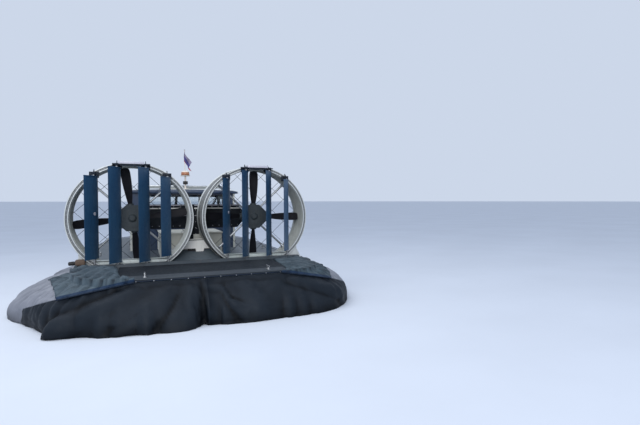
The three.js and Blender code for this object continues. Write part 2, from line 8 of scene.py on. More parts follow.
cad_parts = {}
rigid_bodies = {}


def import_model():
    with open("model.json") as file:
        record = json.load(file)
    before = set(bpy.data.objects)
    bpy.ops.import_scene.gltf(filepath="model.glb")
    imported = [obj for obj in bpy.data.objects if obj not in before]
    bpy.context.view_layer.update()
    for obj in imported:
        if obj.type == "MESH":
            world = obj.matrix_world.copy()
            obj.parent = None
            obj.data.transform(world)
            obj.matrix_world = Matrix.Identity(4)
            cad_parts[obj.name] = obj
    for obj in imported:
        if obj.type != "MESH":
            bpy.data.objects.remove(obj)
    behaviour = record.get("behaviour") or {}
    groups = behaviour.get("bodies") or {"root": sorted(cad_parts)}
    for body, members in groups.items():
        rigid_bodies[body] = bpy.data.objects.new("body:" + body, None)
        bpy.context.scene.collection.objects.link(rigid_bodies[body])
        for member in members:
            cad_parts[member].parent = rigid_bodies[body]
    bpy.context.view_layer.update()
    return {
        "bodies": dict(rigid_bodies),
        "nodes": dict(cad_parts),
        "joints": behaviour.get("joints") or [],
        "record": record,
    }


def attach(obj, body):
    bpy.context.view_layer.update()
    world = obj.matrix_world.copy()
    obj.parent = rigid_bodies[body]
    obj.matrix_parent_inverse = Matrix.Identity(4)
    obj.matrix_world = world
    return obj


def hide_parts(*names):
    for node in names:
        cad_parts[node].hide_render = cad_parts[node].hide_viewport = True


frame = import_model()
nodes = frame["nodes"]
sides = (("port", 1), ("starboard", -1))
print("hovercraft: frame loaded,", len(nodes), "nodes")

# view, light and floor
view = {
    "eye": (-12.25, 0.86, 1.65),
    "heading": -29.4,  # degrees from +X, to port
    "pitch": -1.42,
    "lens": 28.41,
    "shift": -0.1612,
    "sky": (0.636, 0.716, 0.858),
    "skyStrength": 0.95,
    "softLight": 460.0,  # watts
    "floor": (0.60, 0.64, 0.71),
    "floorRadius": 600.0,
}


def addView():
    scene = bpy.context.scene
    scene.view_settings.view_transform = "Standard"
    camera = bpy.data.cameras.new("viewCamera")
    camera.lens = view["lens"]
    camera.sensor_fit = "HORIZONTAL"
    camera.shift_x = view["shift"]
    camera.clip_end = 2000
    heading, pitch = math.radians(view["heading"]), math.radians(view["pitch"])
    ahead = Vector((math.cos(heading) * math.cos(pitch), math.sin(heading) * math.cos(pitch), math.sin(pitch)))
    seen = bpy.data.objects.new("viewCamera", camera)
    seen.location = view["eye"]
    seen.rotation_euler = ahead.to_track_quat("-Z", "Y").to_euler()
    scene.collection.objects.link(seen)
    scene.camera = seen
    world = bpy.data.worlds.new("overcast")
    scene.world = world
    world.use_nodes = True
    sky = world.node_tree.nodes["Background"]
    sky.inputs["Color"].default_value = (*view["sky"], 1)
    sky.inputs["Strength"].default_value = view["skyStrength"]
    for name, place, aim, size, share in (
        ("softTop", (-4.0, 3.0, 9.0), (-1.5, 0.0, 0.5), 9.0, 1.0),
        ("softStern", (-22.0, 3.0, 8.0), (-4.0, 0.2, 0.8), 10.0, 4.0),
    ):
        light = bpy.data.lights.new(name, "AREA")
        light.shape = "DISK"
        light.size = size
        light.energy = view["softLight"] * share
        lamp = bpy.data.objects.new(name, light)
        lamp.location = place
        lamp.rotation_euler = (Vector(aim) - Vector(place)).to_track_quat("-Z", "Y").to_euler()
        scene.collection.objects.link(lamp)


# node helpers for materials
def startMaterial(name, metallic=0.0, roughness=None, specular=0.5, coat=0.0, sheen=0.0):
    material = bpy.data.materials.new(name)
    material.use_nodes = True
    tree = material.node_tree
    shader = tree.nodes["Principled BSDF"]
    shader.inputs["Metallic"].default_value = metallic
    shader.inputs["Specular IOR Level"].default_value = specular
    shader.inputs["Coat Weight"].default_value = coat
    shader.inputs["Sheen Weight"].default_value = sheen
    if roughness is not None:
        shader.inputs["Roughness"].default_value = roughness
    return material, tree, shader, tree.nodes.new("ShaderNodeTexCoord")


def cloudNode(tree, source, scale, detail=4.0, roughness=0.55, stretch=(1, 1, 1), bend=0.0):
    mapping = tree.nodes.new("ShaderNodeMapping")
    mapping.inputs["Scale"].default_value = stretch
    tree.links.new(source, mapping.inputs["Vector"])
    cloud = tree.nodes.new("ShaderNodeTexNoise")
    cloud.inputs["Scale"].default_value = scale
    cloud.inputs["Detail"].default_value = detail
    cloud.inputs["Roughness"].default_value = roughness
    cloud.inputs["Distortion"].default_value = bend
    tree.links.new(mapping.outputs["Vector"], cloud.inputs["Vector"])
    return cloud.outputs[0]


def rampNode(tree, value, stops):
    ramp = tree.nodes.new("ShaderNodeValToRGB")
    while len(ramp.color_ramp.elements) < len(stops):
        ramp.color_ramp.elements.new(0.5)
    for element, (place, tone) in zip(ramp.color_ramp.elements, stops):
        element.position = place
        element.color = (tone, tone, tone, 1) if isinstance(tone, (int, float)) else (*tone, 1)
    tree.links.new(value, ramp.inputs["Fac"])
    return ramp.outputs["Color"]


def mixNode(tree, amount, first, second, blend="MIX"):
    mix = tree.nodes.new("ShaderNodeMix")
    mix.data_type = "RGBA"
    mix.blend_type = blend
    for socket, value in ((mix.inputs[0], amount), (mix.inputs[6], first), (mix.inputs[7], second)):
        if isinstance(value, bpy.types.NodeSocket):
            tree.links.new(value, socket)
        elif isinstance(value, (int, float)):
            socket.default_value = value
        else:
            socket.default_value = (*value, 1)
    return mix.outputs[2]


def mathNode(tree, operation, first, second=0.0):
    node = tree.nodes.new("ShaderNodeMath")
    node.operation = operation
    for socket, value in ((node.inputs[0], first), (node.inputs[1], second)):
        if isinstance(value, bpy.types.NodeSocket):
            tree.links.new(value, socket)
        else:
            socket.default_value = value
    return node.outputs[0]


def bumpNode(tree, height, distance, strength=0.6, under=None):
    bump = tree.nodes.new("ShaderNodeBump")
    bump.inputs["Distance"].default_value = distance
    bump.inputs["Strength"].default_value = strength
    tree.links.new(height, bump.inputs["Height"])
    if under is not None:
        tree.links.new(under, bump.inputs["Normal"])
    return bump.outputs["Normal"]


def splitNode(tree, source):
    parts = tree.nodes.new("ShaderNodeSeparateXYZ")
    tree.links.new(source, parts.inputs[0])
    return parts.outputs


def paint(name, tone, second, rough=(0.4, 0.62), metallic=0.0, grime=(0.07, 0.07, 0.06), dirt=0.35, peel=0.0005, coat=0.0, specular=0.5):
    material, tree, shader, where = startMaterial(name, metallic, None, specular, coat)
    place = where.outputs["Object"]
    patch = cloudNode(tree, place, 1.9, 3.0)
    fine = cloudNode(tree, place, 26.0, 6.0, 0.6)
    streak = cloudNode(tree, place, 5.0, 4.0, 0.6, (7, 7, 0.7))
    body = mixNode(tree, rampNode(tree, patch, ((0.35, 0.0), (0.7, 1.0))), tone, second)
    body = mixNode(tree, rampNode(tree, streak, ((0.52, 0.0), (0.78, dirt))), body, grime)
    body = mixNode(tree, rampNode(tree, fine, ((0.62, 0.0), (0.8, dirt))), body, grime)
    tree.links.new(body, shader.inputs["Base Color"])
    tree.links.new(rampNode(tree, fine, ((0.3, rough[0]), (0.75, rough[1]))), shader.inputs["Roughness"])
    tree.links.new(bumpNode(tree, fine, peel, 0.5), shader.inputs["Normal"])
    return material


def coatedCloth(name, tone, pale, deep, rough=(0.42, 0.6), upwardPale=(0.45, 0.46, 0.50), upwardPaleShare=0.25, grid=70.0, specular=0.4, streaks=0.0):
    material, tree, shader, where = startMaterial(name, specular=specular)
    place, flat = where.outputs["Object"], where.outputs["UV"]
    patch = cloudNode(tree, place, 1.3, 5.0, 0.6, bend=0.4)
    crush = cloudNode(tree, place, 8.0, 6.0, 0.62, bend=0.35)
    foldShading = tree.nodes.new("ShaderNodeAttribute")
    foldShading.attribute_name = "foldShading"
    body = mixNode(tree, rampNode(tree, patch, ((0.3, 0.0), (0.7, 1.0))), tone, pale)
    # painted highlight and painted shade: pale and dark streaks along the cloth's pleat lines
    if streaks:
        line = cloudNode(tree, flat, 1.0, 3.0, 0.6, (13.0, 1.1, 1.0), 0.3)
        body = mixNode(tree, rampNode(tree, line, ((0.53, 0.0), (0.60, streaks))), body, pale)
        body = mixNode(tree, rampNode(tree, line, ((0.39, streaks), (0.48, 0.0))), body, deep)
    # painted shade in the creases and painted highlight on the ridges, taken from the cloth's shape
    body = mixNode(tree, rampNode(tree, foldShading.outputs["Fac"], ((0.0, 0.9), (0.46, 0.0))), body, deep)
    body = mixNode(tree, rampNode(tree, foldShading.outputs["Fac"], ((0.5, 0.0), (0.95, 0.75))), body, pale)
    # paler in patches on upward-facing faces
    upward = splitNode(tree, tree.nodes.new("ShaderNodeNewGeometry").outputs["Normal"])[2]
    settled = mathNode(tree, "MULTIPLY", rampNode(tree, upward, ((0.35, 0.0), (0.95, 1.0))),
                       rampNode(tree, crush, ((0.42, 0.0), (0.7, upwardPaleShare))))
    body = mixNode(tree, settled, body, upwardPale)
    # darker in patches towards the ground
    height = splitNode(tree, place)[2]
    darkerNearGround = mathNode(tree, "MULTIPLY", rampNode(tree, height, ((0.02, 1.0), (0.16, 0.0))),
                   rampNode(tree, patch, ((0.3, 0.3), (0.65, 0.9))))
    body = mixNode(tree, darkerNearGround, body, deep)
    tree.links.new(body, shader.inputs["Base Color"])
    tree.links.new(rampNode(tree, crush, ((0.3, rough[0]), (0.7, rough[1]))), shader.inputs["Roughness"])
    threads = []
    for axis in (0, 1):
        wave = tree.nodes.new("ShaderNodeTexWave")
        wave.bands_direction = "XY"[axis]
        wave.inputs["Scale"].default_value = grid
        tree.links.new(flat, wave.inputs["Vector"])
        threads.append(wave.outputs["Fac"])
    weave = mathNode(tree, "MAXIMUM", *threads)
    normal = bumpNode(tree, weave, 0.0004, 0.25)
    tree.links.new(bumpNode(tree, crush, 0.006, 0.55, normal), shader.inputs["Normal"])
    return material


def metal(name, tone, second, rough=(0.25, 0.45), dull=0.2):
    material, tree, shader, where = startMaterial(name, 0.9)
    place = where.outputs["Object"]
    grain = cloudNode(tree, place, 60.0, 4.0, 0.6, (1, 1, 0.1))
    patch = cloudNode(tree, place, 5.0, 5.0)
    body = mixNode(tree, rampNode(tree, patch, ((0.35, 0.0), (0.75, 1.0))), tone, second)
    body = mixNode(tree, rampNode(tree, grain, ((0.55, 0.0), (0.8, dull))), body, (0.2, 0.2, 0.19))
    tree.links.new(body, shader.inputs["Base Color"])
    tree.links.new(rampNode(tree, grain, ((0.3, rough[0]), (0.75, rough[1]))), shader.inputs["Roughness"])
    tree.links.new(bumpNode(tree, grain, 0.0003, 0.4), shader.inputs["Normal"])
    return material


def moulded(name, tone, second, rough=(0.35, 0.6), grain=90.0, depth=0.0004, specular=0.5):
    material, tree, shader, where = startMaterial(name, specular=specular)
    place = where.outputs["Object"]
    pores = cloudNode(tree, place, grain, 3.0)
    patch = cloudNode(tree, place, 4.0, 5.0)
    tree.links.new(mixNode(tree, rampNode(tree, patch, ((0.35, 0.0), (0.7, 1.0))), tone, second), shader.inputs["Base Color"])
    tree.links.new(rampNode(tree, patch, ((0.3, rough[0]), (0.7, rough[1]))), shader.inputs["Roughness"])
    tree.links.new(bumpNode(tree, pores, depth, 0.5), shader.inputs["Normal"])
    return material


def clearPane(name, tone, through, roughness):
    material, tree, shader, where = startMaterial(name)
    shader.inputs["Transmission Weight"].default_value = through
    shader.inputs["IOR"].default_value = 1.35
    haze = cloudNode(tree, where.outputs["Object"], 3.0, 5.0, 0.6, (1, 1, 0.4))
    tree.links.new(rampNode(tree, haze, ((0.45, roughness), (0.8, roughness + 0.06))), shader.inputs["Roughness"])
    tree.links.new(mixNode(tree, rampNode(tree, haze, ((0.4, 0.0), (0.8, 0.5))), tone, (0.75, 0.78, 0.8)), shader.inputs["Base Color"])
    return material


def woven(name, tone, second, threads=110.0):
    material, tree, shader, where = startMaterial(name, roughness=0.9, specular=0.3, sheen=0.3)
    place = where.outputs["Object"]
    patch = cloudNode(tree, place, 14.0, 5.0)
    tree.links.new(mixNode(tree, rampNode(tree, patch, ((0.35, 0.0), (0.7, 1.0))), tone, second), shader.inputs["Base Color"])
    waves = []
    for direction in "XZ":
        wave = tree.nodes.new("ShaderNodeTexWave")
        wave.bands_direction = direction
        wave.inputs["Scale"].default_value = threads
        tree.links.new(place, wave.inputs["Vector"])
        waves.append(wave.outputs["Fac"])
    tree.links.new(bumpNode(tree, mathNode(tree, "MAXIMUM", *waves), 0.0003, 0.25), shader.inputs["Normal"])
    return material


def flagStripes():
    material, tree, shader, where = startMaterial("flagStripes", roughness=0.85, specular=0.2, sheen=0.2)
    across = splitNode(tree, where.outputs["UV"])[1]
    bands = rampNode(tree, across, ((0.0, (0.30, 0.02, 0.05)), (0.36, (0.035, 0.035, 0.15)), (0.78, (0.20, 0.18, 0.26))))
    bands.node.color_ramp.interpolation = "CONSTANT"
    faded = cloudNode(tree, where.outputs["UV"], 9.0, 4.0)
    tree.links.new(mixNode(tree, rampNode(tree, faded, ((0.4, 0.0), (0.8, 0.35))), bands, (0.25, 0.2, 0.3)), shader.inputs["Base Color"])
    tree.links.new(bumpNode(tree, cloudNode(tree, where.outputs["UV"], 160.0, 2.0), 0.0004, 0.4), shader.inputs["Normal"])
    return material


look = {
    "apronBlack": coatedCloth("apronBlack", (0.0055, 0.008, 0.012), (0.012, 0.017, 0.024), (0.0012, 0.002, 0.0032), (0.5, 0.7), upwardPaleShare=0.03, specular=0.12),
    "skirtGrey": coatedCloth("skirtGrey", (0.125, 0.134, 0.160), (0.19, 0.20, 0.235), (0.040, 0.044, 0.055), (0.55, 0.75), (0.42, 0.44, 0.49), 0.4),
    "skirtBlue": coatedCloth("skirtBlue", (0.016, 0.030, 0.043), (0.070, 0.100, 0.122), (0.003, 0.008, 0.015), (0.5, 0.7), upwardPaleShare=0.03, specular=0.25, streaks=0.4),
    "skirtDeep": coatedCloth("skirtDeep", (0.016, 0.030, 0.042), (0.070, 0.100, 0.120), (0.003, 0.008, 0.014), (0.5, 0.7), upwardPaleShare=0.05, specular=0.15, streaks=0.5),
    "hemBlue": coatedCloth("hemBlue", (0.008, 0.022, 0.050), (0.014, 0.032, 0.068), (0.004, 0.010, 0.022), (0.55, 0.75), upwardPaleShare=0.03, specular=0.2),
    "ductPaint": paint("ductPaint", (0.50, 0.53, 0.53), (0.60, 0.62, 0.62), (0.35, 0.55), 0.1, dirt=0.3),
    # a darker copy of the duct paint: painted shade inside the rings
    "ductInsideShaded": paint("ductInsideShaded", (0.40, 0.42, 0.40), (0.50, 0.52, 0.49), (0.45, 0.65), 0.1, dirt=0.4),
    # a darker copy of the duct paint: painted shade on the outer wall and in the recessed band of the rear face
    "ductOutsideShaded": paint("ductOutsideShaded", (0.13, 0.14, 0.145), (0.19, 0.20, 0.205), (0.45, 0.65), 0.1, dirt=0.45),
    "plateGrey": paint("plateGrey", (0.42, 0.42, 0.48), (0.50, 0.50, 0.56), (0.4, 0.6), 0.1, dirt=0.2),
    "boxGreen": paint("boxGreen", (0.44, 0.50, 0.49), (0.54, 0.59, 0.58), dirt=0.3),
    "rudderBlue": paint("rudderBlue", (0.011, 0.052, 0.118), (0.018, 0.070, 0.140), (0.38, 0.6), 0.05, (0.006, 0.014, 0.024), 0.35),
    "bracketDark": paint("bracketDark", (0.008, 0.013, 0.024), (0.013, 0.018, 0.028), (0.5, 0.7), specular=0.15),
    "bladeBlack": moulded("bladeBlack", (0.005, 0.005, 0.008), (0.009, 0.009, 0.013), (0.45, 0.6), specular=0.2),
    "driveGrey": paint("driveGrey", (0.030, 0.040, 0.047), (0.040, 0.050, 0.058), (0.5, 0.7), 0.05, specular=0.3),
    "casingDark": paint("casingDark", (0.006, 0.009, 0.014), (0.010, 0.014, 0.021), (0.5, 0.7), 0.0, dirt=0.15, specular=0.2),
    "tubeAlloy": metal("tubeAlloy", (0.42, 0.44, 0.46), (0.52, 0.54, 0.56)),
    "chrome": metal("chrome", (0.75, 0.76, 0.78), (0.82, 0.83, 0.84), (0.08, 0.2), 0.05),
    "steel": metal("steel", (0.30, 0.31, 0.32), (0.40, 0.40, 0.41), (0.3, 0.5)),
    # a brighter cream; on the fairing between the rings it is painted light, brighter than the cream paint to make up
    # for the shade there
    "fairCream": paint("fairCream", (0.80, 0.80, 0.76), (0.86, 0.86, 0.83), (0.35, 0.55), dirt=0.12),
    "panelCream": paint("panelCream", (0.50, 0.51, 0.46), (0.58, 0.58, 0.53), (0.35, 0.55), dirt=0.25, coat=0.1),
    "trimBlue": paint("trimBlue", (0.018, 0.034, 0.072), (0.028, 0.048, 0.09), (0.35, 0.55)),
    "hullPaint": paint("hullPaint", (0.034, 0.048, 0.062), (0.05, 0.065, 0.08), dirt=0.5),
    "deckCloth": paint("deckCloth", (0.007, 0.010, 0.015), (0.012, 0.017, 0.023), (0.6, 0.8), 0.0, (0.01, 0.014, 0.018), 0.5, 0.002, specular=0.2),
    "matGrey": paint("matGrey", (0.029, 0.037, 0.047), (0.040, 0.049, 0.060), (0.6, 0.8), 0.0, (0.03, 0.038, 0.042), 0.5, 0.002, specular=0.3),
    "coverSlate": paint("coverSlate", (0.080, 0.105, 0.125), (0.105, 0.13, 0.15), (0.55, 0.75), 0.0, (0.02, 0.03, 0.04), 0.4, 0.001, specular=0.3),
    "glass": clearPane("glass", (0.88, 0.92, 0.93), 1.0, 0.01),
    "lampLens": clearPane("lampLens", (0.92, 0.94, 0.94), 1.0, 0.02),
    "seatCloth": woven("seatCloth", (0.035, 0.040, 0.048), (0.055, 0.06, 0.07)),
    "castIron": metal("castIron", (0.05, 0.05, 0.048), (0.09, 0.085, 0.08), (0.55, 0.75), 0.5),
    "amberLens": moulded("amberLens", (0.36, 0.14, 0.07), (0.42, 0.19, 0.09), (0.15, 0.25), 30.0, 0.0002),
    "paleCap": moulded("paleCap", (0.62, 0.56, 0.50), (0.70, 0.64, 0.58)),
    "rubber": moulded("rubber", (0.010, 0.010, 0.011), (0.018, 0.018, 0.02), (0.6, 0.8)),
    "brownWood": moulded("brownWood", (0.09, 0.055, 0.038), (0.14, 0.095, 0.065), (0.6, 0.8), 40.0, 0.001),
    "flagStripes": flagStripes(),
    "lampRed": moulded("lampRed", (0.45, 0.02, 0.02), (0.55, 0.03, 0.03), (0.15, 0.3)),
    "lampGreen": moulded("lampGreen", (0.02, 0.25, 0.08), (0.03, 0.32, 0.1), (0.15, 0.3)),
}
print("hovercraft: materials made,", len(look))


# mesh helpers: each adds one closed shape to a bmesh
def addShape(target, make, finish=0, matrix=None):
    part = bmesh.new()
    make(part)
    bmesh.ops.remove_doubles(part, verts=part.verts, dist=1e-6)
    bmesh.ops.recalc_face_normals(part, faces=part.faces)
    for face in part.faces:
        face.material_index = finish
    if matrix is not None:
        part.transform(matrix)
    mesh = bpy.data.meshes.new("part")
    part.to_mesh(mesh)
    part.free()
    target.from_mesh(mesh)
    bpy.data.meshes.remove(mesh)


def addBox(target, low, high, bevel=0.004, finish=0, matrix=None):
    def make(part):
        bmesh.ops.create_cube(part, size=1.0)
        low_, high_ = Vector(low), Vector(high)
        for vert in part.verts:
            vert.co = Vector([a + (c + 0.5) * (b - a) for a, b, c in zip(low_, high_, vert.co)])
        if bevel:
            bmesh.ops.bevel(part, geom=part.edges[:], offset=bevel, segments=2, affect="EDGES", profile=0.5)
    addShape(target, make, finish, matrix)


def addPrism(target, outline, axis, start, end, bevel=0.0, finish=0, matrix=None):
    # outline holds (y, z) for axis x, (x, z) for axis y, (x, y) for axis z
    def place(point, level):
        first, second = point
        return {"x": (level, first, second), "y": (first, level, second), "z": (first, second, level)}[axis]

    def make(part):
        rings = [[part.verts.new(place(point, level)) for point in outline] for level in (start, end)]
        part.faces.new(rings[0])
        part.faces.new(rings[1])
        for n in range(len(outline)):
            k = (n + 1) % len(outline)
            part.faces.new((rings[0][n], rings[0][k], rings[1][k], rings[1][n]))
        if bevel:
            part.normal_update()
            bmesh.ops.bevel(part, geom=part.edges[:], offset=bevel, segments=2, affect="EDGES", profile=0.5)
    addShape(target, make, finish, matrix)


def addLoft(target, sections, finish=0, matrix=None, loop=False):
    def make(part):
        rings = [[part.verts.new(point) for point in section] for section in sections]
        count = len(rings[0])
        for n in range(len(rings) if loop else len(rings) - 1):
            near, far = rings[n], rings[(n + 1) % len(rings)]
            for k in range(count):
                m = (k + 1) % count
                part.faces.new((near[k], near[m], far[m], far[k]))
        if not loop:
            part.faces.new(rings[0])
            part.faces.new(rings[-1])
    addShape(target, make, finish, matrix)


def addTube(target, points, radius, sidesCount=12, finish=0, loop=False, matrix=None):
    points = [Vector(point) for point in points]
    sections = []
    normal = None
    for n, point in enumerate(points):
        before = points[n - 1] if (n or loop) else point
        after = points[(n + 1) % len(points)] if (n < len(points) - 1 or loop) else point
        along = (after - before).normalized()
        if normal is None:
            normal = along.orthogonal().normalized()
        normal = (normal - along * normal.dot(along)).normalized()
        across = along.cross(normal)
        r = radius[n] if isinstance(radius, (list, tuple)) else radius
        sections.append([
            point + r * (normal * math.cos(a) + across * math.sin(a))
            for a in (2 * math.pi * k / sidesCount for k in range(sidesCount))
        ])
    addLoft(target, sections, finish, matrix, loop)


def addTurned(target, profile, centre, steps=96, finish=0, matrix=None):
    # closed profile of (radius, x), turned about an axis along X through centre (y, z)
    sections = []
    for n in range(steps):
        angle = 2 * math.pi * n / steps
        sections.append([
            (x, centre[0] + r * math.cos(angle), centre[1] + r * math.sin(angle)) for r, x in profile
        ])
    addLoft(target, sections, finish, matrix, True)


def rounded(outline, radius, steps=4):
    # the same closed outline with its corners turned into short arcs
    made = []
    count = len(outline)
    for n in range(count):
        before, here, after = Vector(outline[n - 1]), Vector(outline[n]), Vector(outline[(n + 1) % count])
        one, two = before - here, after - here
        reach = min(radius, one.length * 0.45, two.length * 0.45)
        start, end = here + one.normalized() * reach, here + two.normalized() * reach
        for k in range(steps + 1):
            t = k / steps
            made.append(tuple((1 - t) ** 2 * start + 2 * t * (1 - t) * here + t ** 2 * end))
    return made


def circlePoints(centre, radius, x, count=96):
    return [
        (x, centre[0] + radius * math.cos(2 * math.pi * n / count), centre[1] + radius * math.sin(2 * math.pi * n / count))
        for n in range(count)
    ]


def showPiece(name, shape, finishes, body="craft", stands=(), angle=32):
    if isinstance(shape, bmesh.types.BMesh):
        mesh = bpy.data.meshes.new(name)
        shape.to_mesh(mesh)
        shape.free()
    else:
        mesh = shape
        mesh.name = name
    if len(mesh.materials):
        mesh.materials.clear()
    for finish in finishes:
        mesh.materials.append(look[finish])
    mesh.shade_smooth()
    mesh.set_sharp_from_angle(angle=math.radians(angle))
    piece = bpy.data.objects.new(name, mesh)
    bpy.context.scene.collection.objects.link(piece)
    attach(piece, body)
    if stands:
        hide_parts(*stands)
    return piece


# Geometry Nodes: fasteners along a path, and hoops at even steps
def newTree(name, inputs):
    tree = bpy.data.node_groups.new(name, "GeometryNodeTree")
    tree.is_modifier = True
    tree.interface.new_socket("Geometry", in_out="INPUT", socket_type="NodeSocketGeometry")
    for label, kind in inputs:
        tree.interface.new_socket(label, in_out="INPUT", socket_type=kind)
    tree.interface.new_socket("Geometry", in_out="OUTPUT", socket_type="NodeSocketGeometry")
    return tree, tree.nodes.new("NodeGroupInput"), tree.nodes.new("NodeGroupOutput")


def finishTree(tree, geometry, source, target):
    realize = tree.nodes.new("GeometryNodeRealizeInstances")
    paintOn = tree.nodes.new("GeometryNodeSetMaterial")
    tree.links.new(geometry, realize.inputs[0])
    tree.links.new(realize.outputs[0], paintOn.inputs["Geometry"])
    tree.links.new(source.outputs["Finish"], paintOn.inputs["Material"])
    tree.links.new(paintOn.outputs[0], target.inputs[0])


def fastenerTree(kind):
    tree, source, target = newTree("fasteners_" + kind, (
        ("Spacing", "NodeSocketFloat"), ("Size", "NodeSocketVector"), ("Facing", "NodeSocketVector"),
        ("Centre", "NodeSocketVector"), ("Radial", "NodeSocketFloat"), ("Finish", "NodeSocketMaterial"),
    ))
    points = tree.nodes.new("GeometryNodeCurveToPoints")
    points.mode = "LENGTH"
    tree.links.new(source.outputs["Geometry"], points.inputs[0])
    tree.links.new(source.outputs["Spacing"], points.inputs["Length"])
    shape = {
        "rivet": "GeometryNodeMeshIcoSphere", "bolt": "GeometryNodeMeshCylinder", "block": "GeometryNodeMeshCube",
    }[kind]
    shape = tree.nodes.new(shape)
    if kind == "bolt":
        shape.inputs["Vertices"].default_value = 6
        shape.inputs["Radius"].default_value = 1.0
        shape.inputs["Depth"].default_value = 2.0
    if kind == "rivet":
        shape.inputs["Subdivisions"].default_value = 1
    position = tree.nodes.new("GeometryNodeInputPosition")
    outward = tree.nodes.new("ShaderNodeVectorMath")
    outward.operation = "SUBTRACT"
    tree.links.new(position.outputs[0], outward.inputs[0])
    tree.links.new(source.outputs["Centre"], outward.inputs[1])
    turned = tree.nodes.new("ShaderNodeMix")
    turned.data_type = "VECTOR"
    tree.links.new(source.outputs["Radial"], turned.inputs[0])
    tree.links.new(source.outputs["Facing"], turned.inputs[4])
    tree.links.new(outward.outputs[0], turned.inputs[5])
    align = tree.nodes.new("FunctionNodeAlignRotationToVector")
    align.axis = "Z"
    tree.links.new(turned.outputs[1], align.inputs["Vector"])
    place = tree.nodes.new("GeometryNodeInstanceOnPoints")
    tree.links.new(points.outputs["Points"], place.inputs["Points"])
    tree.links.new(shape.outputs["Mesh"], place.inputs["Instance"])
    tree.links.new(align.outputs[0], place.inputs["Rotation"])
    tree.links.new(source.outputs["Size"], place.inputs["Scale"])
    finishTree(tree, place.outputs[0], source, target)
    return tree


def hoopTree():
    tree, source, target = newTree("hoops", (
        ("Count", "NodeSocketInt"), ("Step", "NodeSocketVector"), ("Start", "NodeSocketVector"),
        ("Radius", "NodeSocketFloat"), ("Tube", "NodeSocketFloat"), ("Finish", "NodeSocketMaterial"),
    ))
    line = tree.nodes.new("GeometryNodeMeshLine")
    for label, name in (("Count", "Count"), ("Step", "Offset"), ("Start", "Start Location")):
        tree.links.new(source.outputs[label], line.inputs[name])
    hoop = tree.nodes.new("GeometryNodeCurvePrimitiveCircle")
    hoop.inputs["Resolution"].default_value = 96
    tree.links.new(source.outputs["Radius"], hoop.inputs["Radius"])
    rim = tree.nodes.new("GeometryNodeCurvePrimitiveCircle")
    rim.inputs["Resolution"].default_value = 6
    tree.links.new(source.outputs["Tube"], rim.inputs["Radius"])
    sweep = tree.nodes.new("GeometryNodeCurveToMesh")
    tree.links.new(hoop.outputs[0], sweep.inputs[0])
    tree.links.new(rim.outputs[0], sweep.inputs[1])
    turn = tree.nodes.new("FunctionNodeEulerToRotation")
    turn.inputs[0].default_value = (0, math.pi / 2, 0)
    place = tree.nodes.new("GeometryNodeInstanceOnPoints")
    tree.links.new(line.outputs[0], place.inputs["Points"])
    tree.links.new(sweep.outputs[0], place.inputs["Instance"])
    tree.links.new(turn.outputs[0], place.inputs["Rotation"])
    finishTree(tree, place.outputs[0], source, target)
    return tree


trees = {kind: fastenerTree(kind) for kind in ("rivet", "bolt", "block")}
trees["hoop"] = hoopTree()


def grow(tree, carrier, values):
    # runs a tree on a carrier object and hands back the finished mesh
    modifier = carrier.modifiers.new("grow", "NODES")
    modifier.node_group = tree
    for item in tree.interface.items_tree:
        if item.item_type == "SOCKET" and item.in_out == "INPUT" and item.name in values:
            modifier[item.identifier] = values[item.name]
    carrier.update_tag()
    graph = bpy.context.evaluated_depsgraph_get()
    mesh = bpy.data.meshes.new_from_object(carrier.evaluated_get(graph))
    data = carrier.data
    bpy.data.objects.remove(carrier)
    if isinstance(data, bpy.types.Curve):
        bpy.data.curves.remove(data)
    return mesh


def pathObject(paths, loop=False):
    curve = bpy.data.curves.new("path", "CURVE")
    curve.dimensions = "3D"
    for path in paths:
        spline = curve.splines.new("POLY")
        spline.points.add(len(path) - 1)
        for point, place in zip(spline.points, path):
            point.co = (*place, 1)
        spline.use_cyclic_u = loop
    carrier = bpy.data.objects.new("path", curve)
    bpy.context.scene.collection.objects.link(carrier)
    return carrier


def fasteners(name, kind, paths, spacing, size, facing=(0, 0, 1), finish="steel", body="craft", centre=None, loop=False):
    mesh = grow(trees[kind], pathObject(paths, loop), {
        "Spacing": spacing, "Size": size, "Facing": facing, "Centre": centre or (0, 0, 0),
        "Radial": 1.0 if centre else 0.0, "Finish": look[finish],
    })
    return showPiece(name, mesh, [finish], body)


